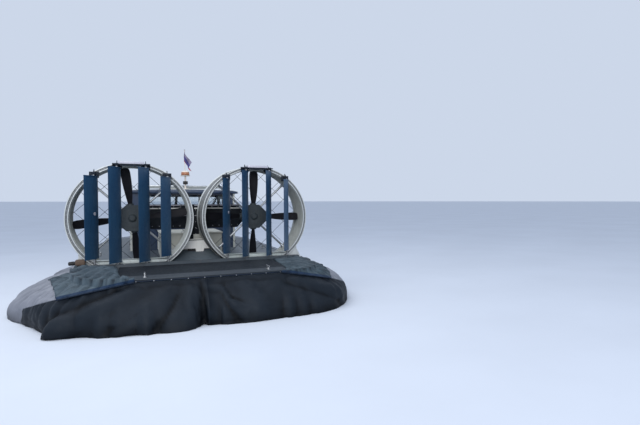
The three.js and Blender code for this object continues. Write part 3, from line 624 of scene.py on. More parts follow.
# skirt: one coated cloth round the hull, settled over the slack bag, then cut at its seams
skirt = {
    "deckPlan": (4.95, 4.70, 1.70, 7.0, 2.8),  # aft, fore, half width, fullness aft and fore
    "groundPlan": (5.20, 5.20, 2.55, 4.5, 2.0),
    "section": ((0.0, 0.602), (0.26, 0.562), (0.56, 0.452), (0.85, 0.310), (1.0, 0.18), (0.985, 0.012)),
    "columnStep": 0.034,
    "rows": 34,
    "slope": 0.95,  # metres from deck edge to hem, for the folds' scale
    # how full the slack bag still stands, from the stern forward
    "fullness": ((-3.6, 1.0), (-3.05, 0.95), (-2.0, 0.8), (-1.0, 0.62), (0.0, 0.5), (1.0, 0.42), (3.0, 0.5), (5.2, 0.62)),
    "sternSplit": -3.85,
    "bowSplit": 1.5,
    "apronFold": 0.06,
    "hemStart": (-4.95, 1.05, 0.6),
    "hemLow": (-3.9, 1.9, 0.27),
    # loose cloth over the deck corners: inboard edge as (share of the way round, (x, y))
    "coverStart": 0.95,
    "coverEnd": -3.25,
    "coverInner": ((0.0, (-4.86, 1.02)), (0.3, (-4.4, 1.10)), (0.65, (-3.7, 1.14)), (0.82, (-3.28, 1.18)), (1.0, (-3.26, 1.60))),
    "coverRows": 14,
    "coverHeight": 0.645,
    "coverSide": ((-4.45, 1.80), (-3.00, 2.05)),  # where the corner cloth ends on the side bag
    "pleatRun": (-0.992, 0.125),  # way the pleats run, aft and outboard
    "pleatDrop": 0.84,
    "pleatStep": 0.135,
    # width of the navy hem band, which also covers the shadow along the hem
    "hemAndShadeBand": 0.040,
    "frames": 22,
    "growth": -0.004,
    "cap": 0.05,
    # u0, v0, u1, v1, width0, width1, height0, height1; u is metres to port of the stern's middle
    "folds": (
        (0.06, 0.00, 0.08, 1.0, 0.035, 0.075, -0.045, -0.120),
        (0.15, 0.08, 0.30, 1.0, 0.07, 0.13, 0.012, 0.055),
        (0.13, 0.08, 0.22, 0.60, 0.030, 0.035, -0.010, -0.018),
        (0.00, 0.08, -0.18, 0.45, 0.030, 0.035, -0.012, -0.026),
        (-0.18, 0.45, -0.46, 0.62, 0.035, 0.045, -0.026, -0.008),
        (0.02, 0.14, -0.22, 0.62, 0.04, 0.05, 0.010, 0.022),
        (0.04, 0.18, -0.32, 0.95, 0.035, 0.075, -0.016, -0.052),
        (0.38, 0.30, 0.78, 1.0, 0.032, 0.055, -0.014, -0.050),
        (0.45, 0.12, 1.15, 1.0, 0.10, 0.18, 0.012, 0.050),
        (-0.30, 0.12, -0.72, 1.0, 0.10, 0.16, 0.012, 0.045),
        (0.95, 0.10, 1.95, 0.95, 0.10, 0.18, 0.020, 0.075),
        (1.20, 0.06, 2.15, 0.78, 0.07, 0.15, -0.015, -0.060),
        (0.75, 0.50, 1.35, 1.0, 0.08, 0.12, -0.012, -0.045),
        (-1.00, 0.20, -1.95, 0.85, 0.08, 0.14, -0.015, -0.035),
        (-1.15, 0.12, -2.10, 0.70, 0.08, 0.14, 0.012, 0.035),
    ),
    # hem's reach beyond the ground plan, along u
    "hem": (
        (-9.0, 0.0), (-5.5, 0.0), (-3.9, -0.02), (-3.3, -0.08), (-2.9, -0.09), (-2.3, -0.09), (-2.0, -0.05), (-1.8, 0.0), (-1.6, 0.0),
        (-1.4, 0.06), (-1.3, 0.0), (-1.2, 0.05), (-1.1, -0.01), (-1.0, 0.04), (-0.9, -0.02), (-0.7, 0.0), (-0.55, 0.06), (-0.4, 0.07),
        (-0.25, 0.02), (-0.1, -0.02), (0.0, -0.08), (0.1, -0.15), (0.2, -0.06), (0.3, 0.04), (0.4, 0.15), (0.5, 0.18), (0.6, 0.17),
        (0.7, 0.11), (0.8, 0.16), (0.9, 0.05), (1.0, 0.05), (1.1, 0.05), (1.2, 0.01), (1.3, 0.06), (1.4, -0.03), (1.5, -0.08),
        (1.6, -0.11), (1.7, -0.14), (1.8, -0.02), (1.9, -0.01), (2.0, -0.07), (2.1, -0.12), (2.2, -0.17), (2.3, -0.19), (2.5, -0.25),
        (2.9, -0.25), (3.2, -0.18), (3.6, 0.0), (3.9, 0.07), (4.6, 0.06), (5.6, 0.0), (9.0, 0.0),
    ),
}


def planPoint(plan, angle, inset=0.0):
    aft, fore, half, aftPower, forePower = plan
    c, s = math.cos(angle), math.sin(angle)
    reach, power = (aft, aftPower) if c < 0 else (fore, forePower)
    return Vector((
        math.copysign((reach - inset) * abs(c) ** (2 / power), c),
        math.copysign((half - inset) * abs(s) ** (2 / power), s), 0,
    ))


def evenAngles(plan, step, start=0.0, end=2 * math.pi):
    angles = np.linspace(start, end, 12001)
    points = np.array([planPoint(plan, angle) for angle in angles])
    length = np.concatenate([[0], np.cumsum(np.linalg.norm(np.diff(points, axis=0), axis=1))])
    count = int(round(length[-1] / step))
    at = np.linspace(0, length[-1], count + 1)
    return np.interp(at, length, angles), at


def softCorners(points, rounds=2):
    points = np.array(points, float)
    for _ in range(rounds):
        near = points[:-1] * 0.75 + points[1:] * 0.25
        far = points[:-1] * 0.25 + points[1:] * 0.75
        points = np.concatenate([points[:1], np.stack([near, far], 1).reshape(-1, points.shape[1]), points[-1:]])
    return points


def evenLine(points, count):
    length = np.concatenate([[0], np.cumsum(np.linalg.norm(np.diff(points, axis=0), axis=1))])
    at = np.linspace(0, length[-1], count)
    return np.stack([np.interp(at, length, points[:, k]) for k in range(points.shape[1])], 1), length[-1]


def gridNormals(grid):
    around = np.roll(grid, -1, 0) - np.roll(grid, 1, 0)
    down = np.gradient(grid, axis=1)
    normal = np.cross(down, around)
    return normal / np.maximum(np.linalg.norm(normal, axis=2, keepdims=True), 1e-9)


def smoothStep(value, low, high):
    t = np.clip((value - low) / (high - low), 0, 1)
    return t * t * (3 - 2 * t)


def foldHeight(u, v):
    total = np.zeros_like(u)
    for u0, v0, u1, v1, w0, w1, h0, h1 in skirt["folds"]:
        du, dv = u1 - u0, (v1 - v0) * skirt["slope"]
        pu, pv = u - u0, (v - v0) * skirt["slope"]
        t = np.clip((pu * du + pv * dv) / (du * du + dv * dv), 0, 1)
        away = np.hypot(pu - t * du, pv - t * dv)
        width, height = w0 + (w1 - w0) * t, h0 + (h1 - h0) * t
        ridge = np.exp(-(away / width) ** 2)
        crease = np.clip(1 - away / (1.7 * width), 0, 1) ** 1.7
        total += height * np.where(height > 0, ridge, crease)
    return total


def clothNoise(u, v, scale, seed, stretch):
    # creases: sharp where a bent noise crosses its middle
    made = np.zeros(u.size)
    for n, (a, b) in enumerate(zip(u.ravel(), v.ravel())):
        place = Vector((a / stretch[0], b / stretch[1], seed))
        bent = place + 0.35 * noise.noise_vector(place * 0.8)
        made[n] = 1 - 2 * abs(noise.noise(bent * scale))
    return made.reshape(u.shape)


def fullnessAt(x):
    places, shares = zip(*skirt["fullness"])
    return float(np.interp(x, places, shares))


def skirtGrid():
    angles, along = evenAngles(skirt["groundPlan"], skirt["columnStep"])
    angles, along = angles[:-1], along[:-1]
    middle = np.interp(math.pi, angles, along)
    around = middle - along
    rows = []
    hemU, hemOut = np.array(skirt["hem"]).T
    lengths = []
    for angle, u in zip(angles, around):
        deck, ground = planPoint(skirt["deckPlan"], angle), planPoint(skirt["groundPlan"], angle)
        out = (ground - deck).normalized()
        reach = float(np.interp(u, hemU, hemOut))
        full = fullnessAt(deck.x)
        spread = []
        for share, z in skirt["section"]:
            fade = max(0.0, 1 - z / 0.42) if reach > 0 else 1 - float(smoothStep(z, 0.12, 0.5))
            spread.append(deck + (ground - deck) * share + Vector((0, 0, z * full if share else z)) + out * reach * fade)
        line, length = evenLine(softCorners(spread), skirt["rows"])
        rows.append(line)
        lengths.append(length)
    grid = np.array(rows)
    v = np.tile(np.linspace(0, 1, skirt["rows"]), (len(angles), 1))
    u = np.tile(around[:, None], (1, skirt["rows"]))
    lengths = np.array(lengths)[:, None]
    corner = smoothStep(abs(u), 1.6, 2.2) * (1 - smoothStep(abs(u), 3.2, 3.9))
    stern = 1 - smoothStep(abs(u), 1.9, 2.4)
    beyond = smoothStep(abs(u), 3.2, 3.8)
    push = foldHeight(u, v)
    pleat = np.sin(u * 2 * math.pi / 0.19 + 1.6 * np.sin(u * 7.1) + 1.3 * v) * (0.35 + 0.65 * np.sin(u * 11.3 + 2.0) ** 2)
    push += 0.016 * corner * (1 - smoothStep(v, 0.55, 0.95)) * pleat
    push += 0.016 * clothNoise(u, v * 0.9, 1.0, 3.1, (0.42, 0.30)) * (0.30 * stern + 0.9 * corner + 0.9 * beyond)
    push += 0.008 * clothNoise(u, v * 0.9, 1.0, 8.7, (0.16, 0.12)) * (0.20 * stern + 1.0 * corner + 0.8 * beyond)
    sag = np.sin(u * 2 * math.pi / 1.15 + 0.8) * 0.022 * beyond * np.sin(v * math.pi)
    push = (push + sag) * smoothStep(v, 0.0, 0.10) * (1 - 0.5 * smoothStep(v, 0.93, 1.0))
    grid = grid + gridNormals(grid) * push[..., None]
    grid[..., 2] = np.clip(grid[..., 2], 0.006, 0.61)
    return grid, u, v * lengths, angles


def gridMesh(name, grid, closed=True):
    columns, rows = grid.shape[:2]
    faces = []
    for n in range(columns if closed else columns - 1):
        m = (n + 1) % columns
        for k in range(rows - 1):
            faces.append((n * rows + k, n * rows + k + 1, m * rows + k + 1, m * rows + k))
    mesh = bpy.data.meshes.new(name)
    mesh.from_pydata(grid.reshape(-1, 3).tolist(), [], faces)
    mesh.update()
    return mesh


def settleCloth(mesh, hold, colliders, frames, growth, cap, quality=5, bending=1.2):
    # Blender's own cloth, held by weights from 0, free, to 1, fixed
    start = np.array([vert.co for vert in mesh.vertices])
    piece = bpy.data.objects.new("settling", mesh)
    bpy.context.scene.collection.objects.link(piece)
    group = piece.vertex_groups.new(name="hold")
    for weight in np.unique(hold):
        if weight > 0:
            group.add([int(n) for n in np.flatnonzero(hold == weight)], float(weight), "REPLACE")
    for collider in colliders:
        collider.modifiers.new("hit", "COLLISION")
        collider.collision.thickness_outer = 0.006
        collider.collision.cloth_friction = 20
    cloth = piece.modifiers.new("cloth", "CLOTH")
    cloth.settings.quality = quality
    cloth.settings.mass = 0.4
    cloth.settings.tension_stiffness = 25
    cloth.settings.compression_stiffness = 25
    cloth.settings.shear_stiffness = 15
    cloth.settings.bending_stiffness = bending
    cloth.settings.air_damping = 3
    cloth.settings.vertex_group_mass = "hold"
    cloth.settings.shrink_min = growth
    cloth.settings.shrink_max = growth
    cloth.collision_settings.distance_min = 0.005
    cloth.point_cache.frame_end = frames
    for number in range(1, frames + 1):
        bpy.context.scene.frame_set(number)
    graph = bpy.context.evaluated_depsgraph_get()
    settled = piece.evaluated_get(graph).to_mesh()
    end = np.array([vert.co for vert in settled.vertices])
    bpy.data.objects.remove(piece)
    bpy.context.scene.frame_set(1)
    moved = end - start
    far = np.linalg.norm(moved, axis=1, keepdims=True)
    return start + moved * np.minimum(1, cap / np.maximum(far, 1e-9))


def coreObject():
    rows = []
    for angle in np.linspace(0, 2 * math.pi, 181)[:-1]:
        deck, ground = planPoint(skirt["deckPlan"], angle), planPoint(skirt["groundPlan"], angle)
        full = fullnessAt(deck.x)
        line = [deck + (ground - deck) * share + Vector((0, 0, z * full if share > 0 else z))
                for share, z in ((-0.05, 0.50), (0.2, 0.38), (0.42, 0.24), (0.6, 0.10), (0.66, 0.04), (0.6, -0.02))]
        rows.append([tuple(p) for p in line])
    core = bpy.data.objects.new("core", gridMesh("core", np.array(rows)))
    bpy.context.scene.collection.objects.link(core)
    return core


def cutTo(shape, point, normal):
    bmesh.ops.bisect_plane(shape, geom=shape.verts[:] + shape.edges[:] + shape.faces[:], plane_co=point, plane_no=normal, clear_inner=True)


def hemPlane(side, drop=0.0):
    start = Vector(skirt["hemStart"]) * Vector((1, side, 1)) - Vector((0, 0, drop))
    low = Vector(skirt["hemLow"]) * Vector((1, side, 1)) - Vector((0, 0, drop))
    inward = Vector((0.7, -0.7 * side, 0)).normalized()
    up = (low - start).cross(inward).normalized()
    return start, up if up.z > 0 else -up


def foldValues(grid, closed=True):
    # 0.5 where the cloth lies flat, more on a ridge, less in a crease
    blurred = grid.copy()
    for _ in range(14):
        if closed:
            sideways = (np.roll(blurred, 1, 0) + np.roll(blurred, -1, 0)) / 2
        else:
            wide = np.concatenate([blurred[:1], blurred, blurred[-1:]], 0)
            sideways = (wide[2:] + wide[:-2]) / 2
        padded = np.concatenate([blurred[:, :1], blurred, blurred[:, -1:]], 1)
        blurred = (sideways + (padded[:, 2:] + padded[:, :-2]) / 2) / 2
    proud = ((grid - blurred) * gridNormals(blurred)).sum(2)
    return np.clip(0.5 + proud / 0.03, 0, 1)


def dressCloth(mesh, foldShading, places):
    # per-point values for the cloth material: low is painted shade in creases, high is painted highlight on ridges
    attribute = mesh.attributes.new("foldShading", "FLOAT", "POINT")
    attribute.data.foreach_set("value", foldShading.ravel().astype(np.float32))
    flat = mesh.uv_layers.new(name="flat")
    flat.data.foreach_set("uv", places.ravel().astype(np.float32))


def cornerMesh(side, grid, u, down):
    # loose cloth that lies on the deck corner, goes over its edge and down the settled skirt
    picked = np.flatnonzero((side * u[:, 0] > skirt["coverStart"]) & (grid[:, 0, 0] < skirt["coverEnd"]) & (side * grid[:, 0, 1] > 0))
    picked = picked[np.argsort(side * u[picked, 0])]
    outer = grid[picked].copy()
    normal = gridNormals(grid)[picked]
    around = side * u[picked, 0]
    pleatHeight = 0.034 if side > 0 else 0.016
    runX, runY = skirt["pleatRun"]

    def pleatsAt(x, y, z):
        beside = runY * x - runX * side * y + skirt["pleatDrop"] * z
        along = runX * x + runY * side * y
        phase = beside * 2 * math.pi / skirt["pleatStep"] + 1.1 * np.sin(along * 2.3) + 0.9 * np.sin(beside * 9.0 + along * 1.7)
        return 1 - (0.5 + 0.5 * np.sin(phase)) ** 3

    coverHeight = skirt["coverHeight"] if side > 0 else skirt["coverHeight"] - 0.022
    streak = pleatsAt(outer[..., 0], outer[..., 1], outer[..., 2])
    streaks = []
    outer += normal * (0.009 + pleatHeight * streak)[..., None]
    edge = outer[:, 0].copy()
    steps = np.linalg.norm(np.diff(edge[:, :2], axis=0), axis=1)
    share = np.concatenate([[0], np.cumsum(steps)]) / steps.sum()
    inner = np.stack([np.interp(share, *zip(*[(s, p[k]) for s, p in skirt["coverInner"]])) for k in (0, 1)], 1)
    inner[:, 1] *= side
    count = skirt["coverRows"]
    rows = []
    for n in range(count):
        t = n / count
        row = np.zeros((len(picked), 3))
        row[:, :2] = inner * (1 - t) + edge[:, :2] * t
        waves = clothNoise(around, np.full_like(around, t * 0.5), 1.0, 5.3 + side, (0.30, 0.22))
        small = clothNoise(around, np.full_like(around, t * 0.5), 1.0, 2.9 + side, (0.11, 0.08))
        swell = math.sin(math.pi * min(1.0, 0.15 + t))
        rough = 0.45
        streaks.append(pleatsAt(row[:, 0], row[:, 1], coverHeight))
        sheaf = streaks[-1] * float(smoothStep(t, 0.0, 0.25))
        crumple = rough * (0.25 + 0.75 * float(smoothStep(t, 0.0, 0.3))) * (0.5 + 0.5 * swell) * (0.014 * (waves + 0.6) + 0.008 * (small + 0.6))
        row[:, 2] = coverHeight + crumple + pleatHeight * sheaf
        beside = np.maximum(-3.46 - row[:, 0], abs(row[:, 1]) - 1.42)
        row[:, 2] = np.minimum(row[:, 2], 0.668 + 0.4 * np.maximum(beside, 0))
        rows.append(row)
    edgeRow = outer[:, 0].copy()
    edgeRow[:, :2] += normal[:, 1, :2] * 0.012
    edgeRow[:, 2] = coverHeight + 0.004 + 0.9 * pleatHeight * streak[:, 0]
    cover = np.stack(rows, 1)
    lower = outer[:, 1:].copy()
    lower[..., 2] = np.minimum(lower[..., 2], edgeRow[:, None, 2] - 0.004)
    whole = np.concatenate([cover, edgeRow[:, None], lower], 1)
    streaks = np.concatenate([np.stack(streaks, 1), streak], 1)
    if side < 0:
        whole, streaks = whole[::-1], streaks[::-1]
        picked = picked[::-1]
    length = np.linalg.norm(edge[:, :2] - inner, axis=1)
    if side < 0:
        length = length[::-1]
    across = np.tile(u[picked, 0][:, None], (1, whole.shape[1]))
    beyond = np.stack([-length * (1 - n / count) for n in range(count)], 1)
    flat = np.concatenate([beyond, np.zeros((len(picked), 1)), down[picked][:, 1:]], 1)
    mesh = gridMesh("corner", whole, False)
    corners = np.zeros(len(mesh.loops), int)
    mesh.loops.foreach_get("vertex_index", corners)
    places = np.stack([across.ravel(), flat.ravel()], 1)[corners]
    # painted highlight on the pleat ridges and painted shade in the grooves between them
    pleatHighlight = streaks * (0.66 if side > 0 else 0.40)
    dressCloth(mesh, np.clip(0.20 + pleatHighlight + 0.6 * (foldValues(whole, False) - 0.5), 0, 1), places)
    shape = bmesh.new()
    shape.from_mesh(mesh)
    bpy.data.meshes.remove(mesh)
    near, far = skirt["coverSide"]
    cutTo(shape, (near[0], side * near[1], 0), (far[1] - near[1], -side * (far[0] - near[0]), 0))
    bmesh.ops.recalc_face_normals(shape, faces=shape.faces)
    if sum(face.normal.z for face in shape.faces) < 0:
        bmesh.ops.reverse_faces(shape, faces=shape.faces)
    return shape


def addPiping(name, side, shape):
    # dark cord sewn along the slanting hem of a corner cloth
    start, up = hemPlane(side, 0.012)
    along = (Vector(skirt["hemLow"]) - Vector(skirt["hemStart"])) * Vector((1, side, 1))
    edge = [vert.co.copy() for vert in shape.verts if abs((vert.co - start).dot(up)) < 2e-4]
    edge = sorted(edge, key=lambda point: point.dot(along))
    points = np.array([tuple(point) for point in edge])
    line, length = evenLine(points, 90)
    for _ in range(4):
        line[1:-1] = (line[:-2] + 2 * line[1:-1] + line[2:]) / 4
    piping = bmesh.new()
    addTube(piping, line.tolist(), 0.009, 8)
    showPiece(f"corner_piping_{name}", piping, ["hemBlue"], "craft")


def addSkirt():
    grid, u, down, angles = skirtGrid()
    mesh = gridMesh("skirt", grid)
    rows = skirt["rows"]
    hold = np.full(grid.shape[:2], 0.03)
    hold[:, 0] = 1.0
    hold[:, -1] = 0.5
    core = coreObject()
    ground = bpy.data.objects.new("ground", gridMesh("ground", np.array([[(-9, -9, 0), (-9, 9, 0)], [(9, -9, 0), (9, 9, 0)]], float), False))
    bpy.context.scene.collection.objects.link(ground)
    end = settleCloth(mesh, hold.ravel(), [core, ground], skirt["frames"], skirt["growth"], skirt["cap"])
    bpy.data.objects.remove(core)
    bpy.data.objects.remove(ground)
    grid = end.reshape(-1, rows, 3)
    grid[..., 2] = np.clip(grid[..., 2], 0.004, 0.615)
    mesh = gridMesh("skirt", grid)
    flatPlaces = np.stack([u.ravel(), down.ravel()], 1)
    corners = np.zeros(len(mesh.loops), int)
    mesh.loops.foreach_get("vertex_index", corners)
    places = flatPlaces[corners].reshape(-1, 4, 2)
    split = np.ptp(places[..., 0], axis=1) > 1  # the last column of faces closes the loop
    places[split, :, 0] = np.where(places[split, :, 0] > 0, u.min() - skirt["columnStep"], places[split, :, 0])
    share = np.tile(np.linspace(0, 1, skirt["rows"]), (len(grid), 1))
    # painted shade in the creases and painted highlight on the ridges, from the cloth's shape and the listed folds
    dressCloth(mesh, np.clip(foldValues(grid) + np.clip(foldHeight(u, share) / 0.22, -0.5, 0.15), 0, 1), places)
    made = {}
    for name, side in sides:
        for label, finish, slotName in (
            ("stern_apron", "apronBlack", "apron_black"), ("corner_flap", "skirtBlue", "skirt_blue"),
            ("side_bag", "skirtGrey", "skirt_grey"), ("bow_bag", "skirtGrey", "skirt_grey"),
        ):
            if label == "corner_flap":
                shape = cornerMesh(side, grid, u, down)
                cutTo(shape, *hemPlane(side, 0.012))
                start, up = hemPlane(side, 0.012)
                # the navy band along the hem is partly the real hem and partly painted shade
                bmesh.ops.bisect_plane(shape, geom=shape.verts[:] + shape.edges[:] + shape.faces[:], plane_co=start + up * skirt["hemAndShadeBand"], plane_no=up)
                for face in shape.faces:
                    middle = face.calc_center_median()
                    if (middle - start).dot(up) < skirt["hemAndShadeBand"] and middle.z < 0.64:
                        face.material_index = 1
            else:
                shape = bmesh.new()
                shape.from_mesh(mesh)
                cutTo(shape, (0, skirt["apronFold"] if label == "stern_apron" else 0.0, 0), (0, side, 0))
            if label == "stern_apron":
                cutTo(shape, (skirt["sternSplit"], 0, 0), (-1, 0, 0))
                start, up = hemPlane(side)
                cutTo(shape, start, -up)
            elif label == "side_bag":
                cutTo(shape, (skirt["bowSplit"], 0, 0), (-1, 0, 0))
                start, up = hemPlane(side)
                near, far = skirt["coverSide"]
                inner = Vector((near[0], side * (near[1] - 0.14), 0))
                outward = Vector((near[1] - far[1], side * (far[0] - near[0]), 0)).normalized()
                split = Vector((skirt["sternSplit"], 0, 0))
                for point, normal in ((start, up), (inner, outward), (split, Vector((1, 0, 0)))):
                    bmesh.ops.bisect_plane(shape, geom=shape.verts[:] + shape.edges[:] + shape.faces[:], plane_co=point, plane_no=normal)
                spare = []
                for face in shape.faces:
                    middle = face.calc_center_median()
                    if middle.x < split.x and ((middle - start).dot(up) < 0 or (middle - inner).dot(outward) < 0):
                        spare.append(face)
                bmesh.ops.delete(shape, geom=spare, context="FACES")
            elif label == "bow_bag":
                cutTo(shape, (skirt["bowSplit"], 0, 0), (1, 0, 0))
            layer = shape.loops.layers.uv["flat"]
            cells = [[loop[layer].uv.copy() for loop in face.loops] for face in shape.faces]
            area = sum(abs(sum(a.x * b.y - b.x * a.y for a, b in zip(cell, cell[1:] + cell[:1]))) / 2 for cell in cells)
            if label == "corner_flap":
                area = sum(face.calc_area() for face in shape.faces)
            if label == "corner_flap":
                addPiping(name, side, shape)
                finish = "skirtBlue" if side > 0 else "skirtDeep"
            finishes = [finish, "hemBlue"] if label == "corner_flap" else [finish]
            piece = showPiece(f"{label}_{name}_cloth", shape, finishes, "craft", [f"{label}_{name}"], 180)
            thick = piece.modifiers.new("thickness", "SOLIDIFY")
            thick.thickness = 0.004
            thick.offset = -1
            made[f"{label}_{name}"] = piece
    return made


skirtPieces = addSkirt()

# ducts: hooped rings with ribs inside, cradles, rudder brackets, shelf and outlet box
duct = {
    "offset": 0.95,
    "height": 1.356,
    "rear": -3.05,
    "depth": 0.76,
    "inner": 0.83,
    "wall": 0.872,
    "hoop": 0.888,
    "lip": 0.902,
    "steps": 144,
    "ribs": 10,
    "ribStep": 0.055,
    "rivetStep": 0.07,
    "netStep": 0.30,
    "netWire": 0.0035,
}
rudder = {
    "x": -3.18,
    "offsets": (0.4973, 0.1954, -0.1954, -0.4973),  # port to starboard
    "feet": (0.76, 0.69, 0.69, 0.76),
    "tops": (2.0225, 2.1647, 2.1647, 2.0225),
    "nose": 0.108,
    "tail": -0.252,
    "thickness": 0.046,
    "rest": -25.0,
    "beamTop": 0.66,
}


def arcPoints(centre, radius, start, end, count=24):
    return [
        (centre[0] + radius * math.cos(a), centre[1] + radius * math.sin(a))
        for a in (math.radians(start + (end - start) * n / count) for n in range(count + 1))
    ]


def addDuct(name, side):
    rear, front = duct["rear"], duct["rear"] + duct["depth"]
    inner, wall, hoop, lip = duct["inner"], duct["wall"], duct["hoop"], duct["lip"]
    centre = (side * duct["offset"], duct["height"])
    cy, cz = centre
    shape = bmesh.new()
    profile = [
        (inner, rear), (inner + 0.015, rear), (inner + 0.018, rear + 0.007), (hoop - 0.018, rear + 0.007), (hoop - 0.015, rear),
        (hoop, rear), (hoop, rear + 0.036), (wall, rear + 0.036), (wall, rear + 0.32), (hoop, rear + 0.32),
        (hoop, rear + 0.356), (wall, rear + 0.356), (wall, front - 0.11), (lip - 0.012, front - 0.09), (lip, front - 0.05),
        (lip - 0.008, front - 0.014), (lip - 0.032, front), (lip - 0.056, front - 0.02), (inner + 0.01, front - 0.09),
        (inner, front - 0.16),
    ]
    addTurned(shape, rounded(profile, 0.006, 2), centre, duct["steps"])
    shape.faces.ensure_lookup_table()
    for face in shape.faces:
        middle = face.calc_center_median()
        reach = math.hypot(middle.y - cy, middle.z - cz)
        # painted shade: the inner wall and ribs take the darker copy of the duct paint
        if reach < inner + 0.02 and rear + 0.012 < middle.x < front - 0.04:
            face.material_index = 1
        # painted shade: the outer wall, its stiffeners and the recessed band of the rear face take the darker copy
        elif rear + 0.01 < middle.x < front - 0.1:
            face.material_index = 5
        elif middle.x < rear + 0.01 and inner + 0.014 < reach < hoop - 0.014:
            face.material_index = 5
    for degrees in (38, 90, 142, 218, 322):
        turn = Matrix.Translation((0, cy, cz)) @ Matrix.Rotation(math.radians(degrees), 4, "X")
        addBox(shape, (rear + 0.04, wall - 0.01, -0.03), (rear + 0.316, wall + 0.009, 0.03), 0.003, 5, turn)
        addBox(shape, (rear + 0.36, wall - 0.01, -0.03), (front - 0.12, wall + 0.009, 0.03), 0.003, 5, turn)
    rim = [(cy + side * d, cz - math.sqrt(0.86 ** 2 - d ** 2)) for d in np.linspace(0.72, 0.425, 9)]
    addPrism(shape, [(cy + side * d, 0.6004) for d in (0.43, 0.72)] + rim, "x", rear + 0.06, rear + 0.56)
    for x in (rear + 0.052, rear + 0.30, rear + 0.552):
        addPrism(shape, [(cy + side * 0.46, 0.6004), (cy + side * 0.79, 0.6004), (cy + side * 0.79, 0.615)] + rim[1:-1], "x", x, x + 0.012, 0.002)
    ends = sorted((cy + side * 0.44, cy + side * 0.80))
    addBox(shape, (rear + 0.045, ends[0], 0.6004), (rear + 0.58, ends[1], 0.610), 0.003)
    half = math.sqrt(0.842 ** 2 - (cz - 0.70) ** 2)
    addBox(shape, (rear + 0.002, cy - half, 0.690), (rear + 0.185, cy + half, 0.706), 0.003, 2)
    segment = arcPoints(centre, 0.842, 180 + math.degrees(math.asin((cz - 0.706) / 0.842)),
                        360 - math.degrees(math.asin((cz - 0.706) / 0.842)))
    addPrism(shape, segment, "x", rear + 0.002, rear + 0.022, 0.0, 2)
    addBox(shape, (rear - 0.008, cy - 0.19, 0.605), (rear + 0.06, cy + 0.19, 0.706), 0.006, 2)
    addBox(shape, (rear - 0.014, cy - 0.17, 0.622), (rear - 0.006, cy + 0.17, 0.692), 0.003, 2)
    for spot, top in zip(rudder["offsets"], rudder["tops"]):
        y = cy + spot
        addBox(shape, (rear - 0.165, y - 0.023, top + 0.012), (rear + 0.02, y + 0.023, top + 0.052), 0.004, 3)
        addBox(shape, (rear - 0.006, y - 0.065, top - 0.035), (rear + 0.004, y + 0.065, top + 0.06), 0.003, 3)
        addPrism(shape, [(rear - 0.10, top + 0.05), (rear + 0.0, top + 0.05), (rear + 0.0, top + 0.10)], "y", y - 0.005, y + 0.005, 0.0, 3)
    top = rudder["tops"][1] + 0.04
    addBox(shape, (rear - 0.17, cy - 0.17, top + 0.002), (rear + 0.01, cy + 0.17, top + 0.042), 0.005, 4)
    addBox(shape, (rear - 0.172, cy - 0.2554, top - 0.010), (rear + 0.004, cy + 0.2554, top + 0.002), 0.002, 3)
    addBox(shape, (rear - 0.172, cy - 0.15, top - 0.030), (rear - 0.150, cy + 0.15, top + 0.000), 0.002, 3)
    showPiece(f"duct_ring_{name}", shape, ["ductPaint", "ductInsideShaded", "boxGreen", "bracketDark", "plateGrey", "ductOutsideShaded"], "craft", [f"duct_{name}"])
    spot = bpy.data.meshes.new("spot")
    spot.from_pydata([(0, 0, 0)], [], [])
    carrier = bpy.data.objects.new("spot", spot)
    bpy.context.scene.collection.objects.link(carrier)
    ribs = grow(trees["hoop"], carrier, {
        "Count": duct["ribs"], "Step": (duct["ribStep"], 0, 0), "Start": (rear + 0.06, cy, cz),
        "Radius": inner - 0.001, "Tube": 0.008, "Finish": look["ductPaint"],
    })
    showPiece(f"duct_ribs_{name}", ribs, ["ductInsideShaded"], "craft")
    circle = [(rear + 0.006, cy + 0.859 * math.cos(a), cz + 0.859 * math.sin(a)) for a in np.linspace(0, 2 * math.pi, 97)[:-1]]
    fasteners(f"duct_rim_rivets_{name}", "rivet", [circle], duct["rivetStep"], (0.006, 0.006, 0.003), (-1, 0, 0), "steel", "craft", None, True)
    rows = []
    for x in (rear + 0.058, rear + 0.30, rear + 0.376, front - 0.13):
        rows.append([(x, cy + wall * math.cos(a), cz + wall * math.sin(a)) for a in np.linspace(0, 2 * math.pi, 97)[:-1]])
    paths = [row for row in rows]
    fasteners(f"duct_wall_rivets_{name}", "rivet", paths, 0.11, (0.005, 0.005, 0.003), (0, 0, 1), "steel", "craft", (0, 0, 0), True)


def addNet(name, side):
    # wire net over the inlet, two sets of parallel wires on a thin hoop
    cy, cz = side * duct["offset"], duct["height"]
    x = duct["rear"] + duct["depth"] + 0.008
    reach = duct["lip"] - 0.035
    shape = bmesh.new()
    addTurned(shape, [(reach - 0.006, x - 0.006), (reach + 0.006, x - 0.006), (reach + 0.006, x + 0.006), (reach - 0.006, x + 0.006)], (cy, cz), 96)
    count = int(reach / duct["netStep"])
    for tilt in (45, 135):
        a = math.radians(tilt)
        along, across = Vector((0, math.cos(a), math.sin(a))), Vector((0, -math.sin(a), math.cos(a)))
        for n in range(-count, count + 1):
            off = n * duct["netStep"] + (0.08 if tilt == 45 else -0.05)
            half = math.sqrt(max(reach ** 2 - off ** 2, 0.0))
            middle = Vector((x + (0.004 if tilt == 45 else -0.004), cy, cz)) + across * off
            addTube(shape, [middle - along * half, middle + along * half], duct["netWire"], 6)
    showPiece(f"inlet_net_{name}", shape, ["bracketDark"], "craft")


# rudders: hollow blades with a rounded nose, end plates and rivet rows
def wingSection(nose, tail, thickness, count=15):
    chord = nose - tail
    upper = []
    for n in range(count):
        t = (1 - math.cos(math.pi * n / (count - 1))) / 2
        half = 5 * thickness * (0.2969 * math.sqrt(t) - 0.126 * t - 0.3516 * t ** 2 + 0.2843 * t ** 3 - 0.1015 * t ** 4)
        upper.append((nose - chord * t, max(half, 0.0012 if n else 0.0)))
    return upper + [(x, -y) for x, y in reversed(upper[1:])]


